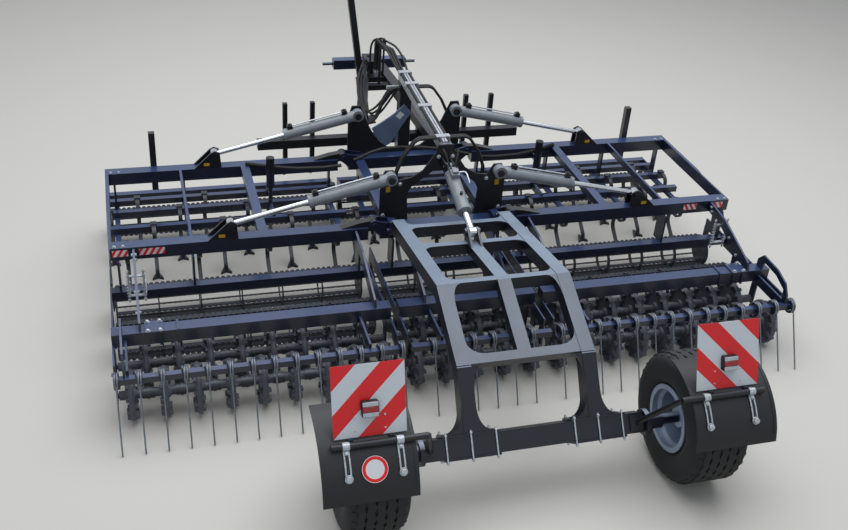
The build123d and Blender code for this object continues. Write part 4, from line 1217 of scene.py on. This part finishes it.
@dataclass
class FoldCylinders:
    """Glands, pipes and fittings of one wing's two fold cylinders."""

    side: Side
    base: Pair = (0.432, 1.165)
    tip: Pair = (1.630, 0.885)
    rows: Pair = (1.130, -0.040)
    barrel: float = 0.045
    length: float = 0.640
    # Each point of a pipe: its distance from the base pin and its height over the axis.
    pipe: tuple[Pair, ...] = (
        (0.110, 0.058), (0.130, 0.064), (0.160, 0.064), (0.520, 0.064), (0.560, 0.064),
    )
    blocks: Pair = (0.105, 0.575)
    block: Point = (0.044, 0.040, 0.034)

    def along(self, y: float, distance: float, lift: float = 0.0) -> Vector:
        """Finds a point on or above a cylinder's axis.

        Args:
            y: Row of the cylinder.
            distance: Distance from its base pin.
            lift: Height over the axis.

        Returns:
            The point.
        """
        run = Vector((self.tip[0] - self.base[0], 0, self.tip[1] - self.base[1])).normalized()
        over = Vector((-run.z, 0, run.x))
        at = Vector((self.base[0], 0, self.base[1])) + run * distance + over * lift
        return Vector((self.side * at.x, y, at.z))

    def build(self) -> None:
        """Builds what is on the barrels and on the rods."""
        collars, pipes, fittings, eyes = Shape(), Shape(), Shape(), Shape()
        for y in self.rows:
            run = (self.along(y, 1.0) - self.along(y, 0.0)).normalized()
            over = self.along(y, 0, 1.0) - self.along(y, 0)
            for start, length, extra in ((0.085, 0.016, 0.004), (self.length - 0.034, 0.034, 0.005)):
                plane = plane_along(self.along(y, start), run)
                collars.collar(plane, self.barrel - 0.001, self.barrel + extra, length)
            pipes.tube([self.along(y, *step) for step in self.pipe], 0.0065)
            for place in self.blocks:
                plane = plane_at(self.along(y, place, self.barrel - 0.002), over, run)
                fittings.slab(plane, self.block)
                facing = plane.to_3x3() @ Vector((0, 0, 1))
                fittings.bolt(plane @ Vector((0, 0, self.block[2])), facing, 0.020, False)
            for way in (-1, 1):
                at = (self.side * self.tip[0], y + way * 0.0305, self.tip[1])
                eyes.disc(plane_at(at, (0, way, 0), (1, 0, 0)), 0.030, 0.003, 24, 0.001)
        word = self.side.word
        barrels = f"{word}_fold_barrels"
        collars.finish(f"{word}_fold_glands", barrels, CYLINDER_GREY, "cylinder_paint")
        pipes.finish(f"{word}_fold_pipes", barrels, HOT_DIP_ZINC, "galvanised_steel")
        fittings.finish(f"{word}_fold_blocks", barrels, BLACK_POWDER, "cylinder_paint", 0.001)
        eyes.finish(f"{word}_fold_eye_faces", f"{word}_fold_rods", CYLINDER_GREY, "chrome_rod")


@dataclass
class MastDetails:
    """Cover, gusset, blank labels, bolts and couplings between the boom and the hitch."""

    cover: Point = (0.0525, 0.985, 1.2975)
    gusset: tuple[Pair, ...] = (
        (0.0500, 1.1409), (-0.0153, 1.2181), (-0.1050, 1.1330), (-0.1925, 1.0720), (-0.2930, 1.0100),
        (-0.2300, 0.8950), (-0.1600, 0.8420), (-0.1250, 0.8600), (-0.0867, 0.9150), (-0.0300, 1.0200),
    )
    gusset_y: float = 1.1770
    portal_y: float = 0.0100
    bolts: tuple[Pair, ...] = ((0.345, 1.090), (0.055, 1.300), (0.470, 0.830), (0.300, 0.760))
    couplings: Pair = (2.265, 2.295)
    coupling_foot: Pair = (0.012, 1.0415)

    def build(self) -> None:
        """Builds the pieces that ride on the middle frame."""
        pale, black, zinc = Shape(), Shape(), Shape()
        wide, top, far = self.cover
        # The cover and gusset wear navy enamel painted pale to stand in for the sky light on them.
        pale.block((-wide, 1.1955, 0.7815), (wide, far, top))
        facing = plane_at((0, self.gusset_y, 0), (0, 1, 0), (-1, 0, 0))
        pale.prism([(-x, z) for x, z in self.gusset], facing, 0.016)
        pale.finish("mast_cover_and_gusset", "chassis", PAINTED_LIGHT_NAVY_ENAMEL, "navy_paint", 0.0015)
        x_foot, z_foot = self.coupling_foot
        for side in Side:
            for x, z in self.bolts:
                zinc.bolt((side * x, self.portal_y - 0.0002, z), (0, -1, 0), 0.024)
            for y in self.couplings:
                plane = plane_at((side * x_foot, y, z_foot), (0, 0, 1), (1, 0, 0))
                zinc.disc(plane, 0.0135, 0.052, 16, 0.002)
                zinc.disc(moved(plane, z=0.052), 0.0125, 0.018, 6, 0.002)
                black.disc(moved(plane, z=0.070), 0.0125, 0.030, 12, 0.002)
        zinc.block((-0.160, 1.238, 1.340), (-0.0505, 1.262, 1.364))
        zinc.finish("mast_bolts_and_couplings", "chassis", HOT_DIP_ZINC, "galvanised_steel", smooth=30)
        black.finish("hose_sleeves", "chassis", HOSE_RUBBER, "hose_rubber")
        self.labels()

    def labels(self) -> None:
        """Sticks the blank labels on the gusset and on the portal's knuckles."""
        white = Shape()
        place = plane_at((-0.049, self.gusset_y - LABEL_GAP, 1.122), (0, -1, 0), (1, 0, 1.15))
        white.slab(place, (0.058, 0.050, LABEL_THICK))
        white.finish("gusset_label", "chassis", WHITE_LABEL, "sign_panel")
        yellow = Shape()
        for side in Side:
            place = plane_at((side * 0.437, self.portal_y - LABEL_GAP, 1.050), (0, -1, 0), (1, 0, 0))
            yellow.slab(place, (0.034, 0.046, LABEL_THICK))
        yellow.finish("portal_labels", "chassis", YELLOW_LABEL, "sign_panel")


@dataclass
class HoseLoops:
    """Hoses that rise from the boom over the ring and loop down beside the hitch."""

    radius: float = 0.0095
    over: tuple[Point, ...] = (
        (0.034, 1.330, 1.452), (0.046, 1.420, 1.470), (0.052, 1.600, 1.500), (0.050, 1.800, 1.500),
        (0.042, 1.980, 1.470), (0.034, 2.100, 1.448), (0.034, 2.170, 1.440), (0.050, 2.230, 1.400),
        (0.062, 2.262, 1.330), (0.064, 2.268, 1.220), (0.064, 2.268, 1.120), (0.064, 2.268, 1.041),
    )
    loop: tuple[Point, ...] = (
        (-0.070, 2.290, 1.041), (-0.074, 2.286, 1.090), (-0.090, 2.262, 1.150), (-0.120, 2.180, 1.165),
        (-0.165, 2.060, 1.110), (-0.195, 1.940, 1.020), (-0.205, 1.800, 0.960), (-0.200, 1.660, 0.945),
        (-0.188, 1.520, 0.975), (-0.165, 1.400, 1.060), (-0.130, 1.310, 1.180), (-0.090, 1.268, 1.280),
        (-0.052, 1.262, 1.336),
    )
    loops: int = 3
    boom_line: tuple[Point, Point] = ((0.033, 0.037, 1.4042), (0.033, 1.313, 1.4682))

    def build(self) -> None:
        """Builds the hoses along the boom, over the ring and the loops on the left."""
        shape = Shape()
        for side in Side:
            shape.tube([(side * x, y, z) for x, y, z in self.boom_line], 0.0118, 12)
        for side in Side:
            shape.tube(self.rounded([(side * x, y, z) for x, y, z in self.over]), self.radius)
        for number in range(self.loops):
            shape.tube(self.rounded(self.beside(number)), self.radius)
        shape.finish("hose_loops", "chassis", HOSE_RUBBER, "hose_rubber", smooth=60)

    def beside(self, number: int) -> list[Point]:
        """Spreads one of the loops out from the first, with its ends side by side.

        Args:
            number: Number of the loop, from 0.

        Returns:
            The loop's points.
        """
        wider, higher = 1 + 0.16 * number, 0.030 * number
        first, *inner, last = self.loop
        ends = [(x, y - 0.024 * number, z) for x, y, z in (first, last)]
        return [ends[0], *((x * wider, y - 0.012 * number, z + higher) for x, y, z in inner), ends[1]]

    @staticmethod
    def rounded(points: Sequence[Point], parts: int = 5) -> list[Vector]:
        """Draws a smooth line through some points.

        Args:
            points: Points that the line passes.
            parts: Number of pieces between two points.

        Returns:
            The points of the smooth line.
        """
        path = [Vector(point) for point in points]
        line = [path[0]]
        for k in range(len(path) - 1):
            before, here = path[max(k - 1, 0)], path[k]
            there, after = path[k + 1], path[min(k + 2, len(path) - 1)]
            for j in range(1, parts + 1):
                t = j / parts
                line.append(
                    0.5 * (2 * here + (there - before) * t
                           + (2 * before - 5 * here + 4 * there - after) * t * t
                           + (3 * here - before - 3 * there + after) * t * t * t)
                )
        return line


@dataclass
class LiftCylinder:
    """Valve block, lever, gland and hose stubs on the lift cylinder's barrel."""

    base: Pair = (-0.085, 1.255)
    tip: Pair = (-0.718, 1.057)
    barrel: float = 0.050
    start: float = 0.075
    length: float = 0.468
    # Each point of the lever: distance from the base pin, height over the axis and x.
    lever: tuple[Point, ...] = (
        (0.125, 0.066, 0.030), (0.125, 0.068, 0.070), (0.132, 0.068, 0.084), (0.150, 0.066, 0.090),
        (0.205, 0.058, 0.092), (0.225, 0.046, 0.092),
    )
    # Each point of a hose: distance, height, and its share of the hose's bend.
    hose: tuple[Point, ...] = (
        (0.090, 0.060, 0.0), (0.060, 0.100, 0.3), (0.020, 0.150, 0.7), (-0.020, 0.172, 1.0),
    )
    # Place of each hose across the barrel, and how far its end bends away.
    hose_bends: tuple[Pair, Pair] = ((-0.018, -0.050), (0.012, 0.040))

    def along(self, distance: float, lift: float = 0.0, x: float = 0.0) -> Vector:
        """Finds a point on or above the axis.

        Args:
            distance: Distance from the base pin.
            lift: Height over the axis.
            x: Place across the machine.

        Returns:
            The point.
        """
        run = Vector((0, self.tip[0] - self.base[0], self.tip[1] - self.base[1])).normalized()
        over = Vector((0, run.z, -run.y))
        return Vector((x, *self.base)) + run * distance + over * lift

    def build(self) -> None:
        """Builds what rides on the barrel."""
        run = self.along(1.0) - self.along(0.0)
        over = self.along(0.0, 1.0) - self.along(0.0)
        grey, black, lever = Shape(), Shape(), Shape()
        for at, length, extra in ((self.start - 0.002, 0.020, 0.004), (self.length - 0.040, 0.040, 0.006)):
            plane = plane_along(self.along(at), run)
            grey.collar(plane, self.barrel - 0.001, self.barrel + extra, length)
        block = plane_at(self.along(0.125, self.barrel - 0.004), over, run)
        grey.slab(block, (0.088, 0.066, 0.036))
        grey.slab(moved(block, 0.010, 0, 0.036), (0.040, 0.044, 0.018))
        for x in (-0.022, 0.022):
            black.bolt(block @ Vector((-0.028, x, 0.036)), over, 0.015, False)
        black.disc(plane_along(self.along(0.330, self.barrel - 0.003), over), 0.013, 0.022, 6, 0.002)
        lever.tube([self.along(*step) for step in self.lever], 0.0065)
        for x, bend in self.hose_bends:
            black.tube([self.along(far, lift, x + bend * share) for far, lift, share in self.hose], 0.009)
        grey.finish("lift_cylinder_valve_block", "lift_barrel", CYLINDER_GREY, "cylinder_paint", 0.0015)
        lever.finish("lift_cylinder_lever", "lift_barrel", HOT_DIP_ZINC, "galvanised_steel")
        black.finish("lift_cylinder_fittings", "lift_barrel", HOSE_RUBBER, "hose_rubber")


@dataclass
class WingDetails:
    """Clamp plates, threaded rods, labels and bolts of one wing."""

    side: Side
    arm_x: float = 2.330
    arm_bolts: tuple[Pair, ...] = ((-0.130, 0.742), (-0.150, 0.712), (-0.460, 0.640), (-0.600, 0.560))
    clamp_x: Pair = (2.175, 2.300)
    clamp_inset: float = 0.022
    clamp_thick: float = 0.012
    strap_x: float = 2.080
    strap_half: float = 0.009
    # Y, Z and half height of the roller beam.
    beam: Point = (-0.750, 0.480, 0.050)
    bracket: Pair = (1.700, 0.815)
    bracket_faces: Pair = (1.0807, -0.0893)
    end_bolts_x: Pair = (2.462, 2.400)
    end_bolts_y: Pair = (1.100, -0.070)
    beam_top: float = 0.7802
    # Y and Z of the threaded rods' middle, and their places beside the arm.
    rod: Pair = (-0.300, 0.590)
    rod_half: float = 0.135
    rod_x: float = 0.055
    rod_nuts: tuple[float, ...] = (-0.120, -0.090, 0.085, 0.115)
    rod_plates: Pair = (-0.082, 0.082)
    # Number of steps round the spring, steps in a turn, its radius and its rise by a step.
    spring: tuple[int, int, float, float] = (60, 10, 0.013, 0.0026)

    def build(self) -> None:
        """Builds the pieces that ride on the wing."""
        navy, zinc, yellow = Shape(), Shape(), Shape()
        self.clamps(navy, zinc)
        for x in (self.arm_x - self.rod_x, self.arm_x + self.rod_x):
            self.spring_rod(zinc, x)
        for at in self.arm_bolts:
            for way in (-1, 1):
                zinc.bolt((self.side * self.arm_x + way * 0.008, *at), (way, 0, 0), 0.019)
        for y in self.end_bolts_y:
            for x in self.end_bolts_x:
                zinc.bolt((self.side * x, y, self.beam_top), (0, 0, 1), 0.018)
        x, up = self.bracket
        for face in self.bracket_faces:
            place = plane_at((self.side * x, face, up), (0, -1, 0), (1, 0, 0))
            yellow.slab(place, (0.046, 0.026, LABEL_THICK))
        word = self.side.word
        wing = f"{word}_wing"
        navy.finish(f"{word}_roller_beam_clamps", wing, NAVY_ENAMEL, "navy_paint", 0.001)
        zinc.finish(f"{word}_rods_and_bolts", wing, HOT_DIP_ZINC, "galvanised_steel", smooth=30)
        yellow.finish(f"{word}_bracket_labels", wing, YELLOW_LABEL, "sign_panel")

    def clamps(self, navy: Shape, zinc: Shape) -> None:
        """Adds the plates and straps round the roller beam, with their bolts.

        Args:
            navy: Mesh that gets the plates.
            zinc: Mesh that gets the bolts.
        """
        y, z, half = self.beam
        top = z + half
        low_x, high_x = self.clamp_x
        wide, inner = self.strap_half, half - 0.001
        plate_y, plate_z = (y - half - 0.016, y + half + 0.016), (top, top + self.clamp_thick)
        self.across(navy, (low_x, high_x), plate_y, plate_z)
        bolted = (low_x + self.clamp_inset, high_x - self.clamp_inset)
        for x in (*bolted, self.strap_x):
            for edges in ((y - half - 0.010, y - inner), (y + inner, y + half + 0.010)):
                self.across(navy, (x - wide, x + wide), edges, (z - half - 0.008, top))
            if x in bolted:
                for edge in (y - half - 0.004, y + half + 0.004):
                    zinc.bolt((self.side * x, edge, top + self.clamp_thick), (0, 0, 1), 0.022)
        strap_y, strap_z = (y - half - 0.010, y + half + 0.010), (top - 0.001, top + 0.010)
        self.across(navy, (self.strap_x - wide, self.strap_x + wide), strap_y, strap_z)

    def across(self, shape: Shape, x: Pair, y: Pair, z: Pair) -> None:
        """Adds a block on this side of the machine.

        Args:
            shape: Mesh that gets the block.
            x: Its two distances from the middle of the machine.
            y: Its two places along the machine.
            z: Its two heights.
        """
        shape.block((self.side * x[0], y[0], z[0]), (self.side * x[1], y[1], z[1]))

    def spring_rod(self, shape: Shape, x: float) -> None:
        """Adds one threaded rod with its nuts and spring, on plates that stand out from the arm.

        Args:
            shape: Mesh that gets the rod.
            x: Distance from the middle of the machine.
        """
        y, z = self.rod
        middle = Vector((self.side * x, y, z))
        end = Vector((0, 0, self.rod_half))
        shape.tube([middle - end, middle + end], 0.006, 8)
        for up in self.rod_nuts:
            shape.disc(plane_along(middle + Vector((0, 0, up)), (0, 0, 1)), 0.012, 0.010, 6, 0.002)
        count, in_turn, radius, rise = self.spring
        coils = []
        for k in range(count + 1):
            turn = 2 * math.pi * k / in_turn
            step = Vector((radius * math.cos(turn), radius * math.sin(turn), rise * k - 0.075))
            coils.append(middle + step)
        shape.tube(coils, 0.0028, 6)
        for up in self.rod_plates:
            self.across(shape, (self.arm_x, x), (y - 0.014, y + 0.014), (z + up - 0.003, z + up + 0.003))


@dataclass
class Conduits:
    """Corrugated hose bundle over the front beams."""

    middle: tuple[Point, ...] = (
        (-0.505, 0.900, 0.862), (-0.430, 0.900, 0.892), (-0.368, 0.905, 0.920), (-0.249, 0.910, 0.949),
        (-0.100, 0.915, 0.948), (0.080, 0.915, 0.936), (0.244, 0.905, 0.917), (0.400, 0.900, 0.882),
        (0.505, 0.895, 0.856),
    )
    outer: tuple[Point, ...] = (
        (0.610, 0.900, 0.822), (0.760, 0.910, 0.806), (0.973, 0.930, 0.803), (1.150, 0.990, 0.798),
        (1.300, 1.060, 0.794), (1.380, 1.100, 0.792),
    )
    pitch: float = 0.013

    def build(self) -> None:
        """Builds the middle stretch and one stretch on each wing."""
        self.stretch("middle_conduit", "chassis", self.middle)
        for side in Side:
            points = tuple((side * x, y, z) for x, y, z in self.outer)
            self.stretch(f"{side.word}_conduit", f"{side.word}_wing", points)

    def stretch(self, name: str, body: str, points: tuple[Point, ...]) -> None:
        """Builds one ribbed stretch.

        Args:
            name: Name of the piece.
            body: Body that it rides on.
            points: Points along its middle.
        """
        shape = Shape()
        shape.tube(points, 0.013)
        for a, b in zip(points, points[1:]):
            start, run = Vector(a), Vector(b) - Vector(a)
            count = max(1, round(run.length / self.pitch))
            for k in range(count):
                plane = plane_along(start + run * ((k + 0.2) / count), run)
                shape.lathe([(0.012, 0), (0.0165, 0.001), (0.0165, 0.006), (0.012, 0.007)], plane, 12)
        shape.finish(name, body, HOSE_RUBBER, "hose_rubber")


@dataclass
class HarrowSprings:
    """Wound strips of one harrow's coils, one broad turn over another."""

    node: str
    body: str
    places: tuple[float, ...]
    bar: Pair = (-1.160, 0.425)
    radius: float = 0.0552
    tip_y: float = -1.420
    turns: float = 2.6
    steps: int = 44

    def build(self) -> None:
        """Builds the wire of each coil down to the tine."""
        shape = Shape()
        y, z = self.bar
        for x in self.places:
            points = []
            for k in range(self.steps + 1):
                share = k / self.steps
                angle = math.radians(100) - 2 * math.pi * self.turns * share
                reach, up = self.radius * math.cos(angle), self.radius * math.sin(angle)
                points.append((x - 0.020 + 0.040 * share, y + reach, z + up))
            shape.tube(points, 0.0058, 6)
            shape.tube([(x, y - 0.050, z - 0.003), (x, self.tip_y + 0.0008, 0.0095)], 0.0056, 8)
        shape.finish(f"{self.node}_coils", self.body, SPRING_STEEL, "spring_steel", smooth=60)


@dataclass
class Section:
    """Rollers and harrow of one section of the machine."""

    name: str
    low: float
    high: float

    @property
    def body(self) -> str:
        """CAD body that carries the section's harrow."""
        return "chassis" if self.name == "centre" else f"{self.name}_wing"

    def mirrored(self, places: Iterable[float]) -> tuple[float, ...]:
        """Gives places of the right wing on this section's side.

        Args:
            places: Distances from the middle of the machine.

        Returns:
            The places from left to right.
        """
        way = -1 if self.name == "left" else 1
        return tuple(sorted(way * x for x in places))

    def build(self) -> None:
        """Builds the cages, the rings' lugs and the harrow's coils."""
        centre = self.name == "centre"
        hoops = 4 if centre else 7
        for kind, y, radius, count in (
            ("front_roller", 1.440, 0.130, 3 if centre else 4),
            ("cage_roller_1", 0.140, 0.150, hoops),
            ("cage_roller_2", -0.345, 0.150, hoops),
        ):
            CageRoller(f"{self.name}_{kind}", self.low, self.high, y, radius, count).build()
        if centre:
            front = [-0.33, -0.11, 0.11, 0.33]
            rear = [-0.44, -0.22, 0.0, 0.22, 0.44]
            coils = [0.147 * (k + 0.5) for k in range(-3, 3)]
        else:
            front = [0.77 + 0.22 * k for k in range(8)]
            rear = [0.66 + 0.22 * k for k in range(9)]
            coils = [2.505 - 0.147 * k for k in range(14)]
        RingRoller(f"{self.name}_ring_roller_1", self.mirrored(front), -0.680).build()
        RingRoller(f"{self.name}_ring_roller_2", self.mirrored(rear), -1.000).build()
        HarrowSprings(f"{self.name}_harrow", self.body, self.mirrored(coils)).build()


def dress_frame(nodes: dict[str, bpy.types.Object]) -> None:
    """Puts the finishes on the CAD nodes.

    Args:
        nodes: CAD nodes by name.
    """
    for name, node in nodes.items():
        material = finish_of(name).material()
        if not node.material_slots:
            node.data.materials.append(material)
        for slot in node.material_slots:
            slot.material = material
        LOG.info("dressed %s", name)


def main() -> None:
    """Builds the scene."""
    logging.basicConfig(level=logging.INFO)
    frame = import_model()
    Studio().build()
    dress_frame(frame["nodes"])
    for side in Side:
        Wheel(side).build()
        FoldCylinders(side).build()
        WingDetails(side).build()
    for section in (Section("left", -2.520, -0.585), Section("centre", -0.525, 0.525),
                    Section("right", 0.585, 2.520)):
        section.build()
    for details in (MastDetails(), HoseLoops(), LiftCylinder(), Conduits(), Signals(), Guards(),
                    AxleDetails()):
        details.build()


if __name__ == "__main__":
    main()
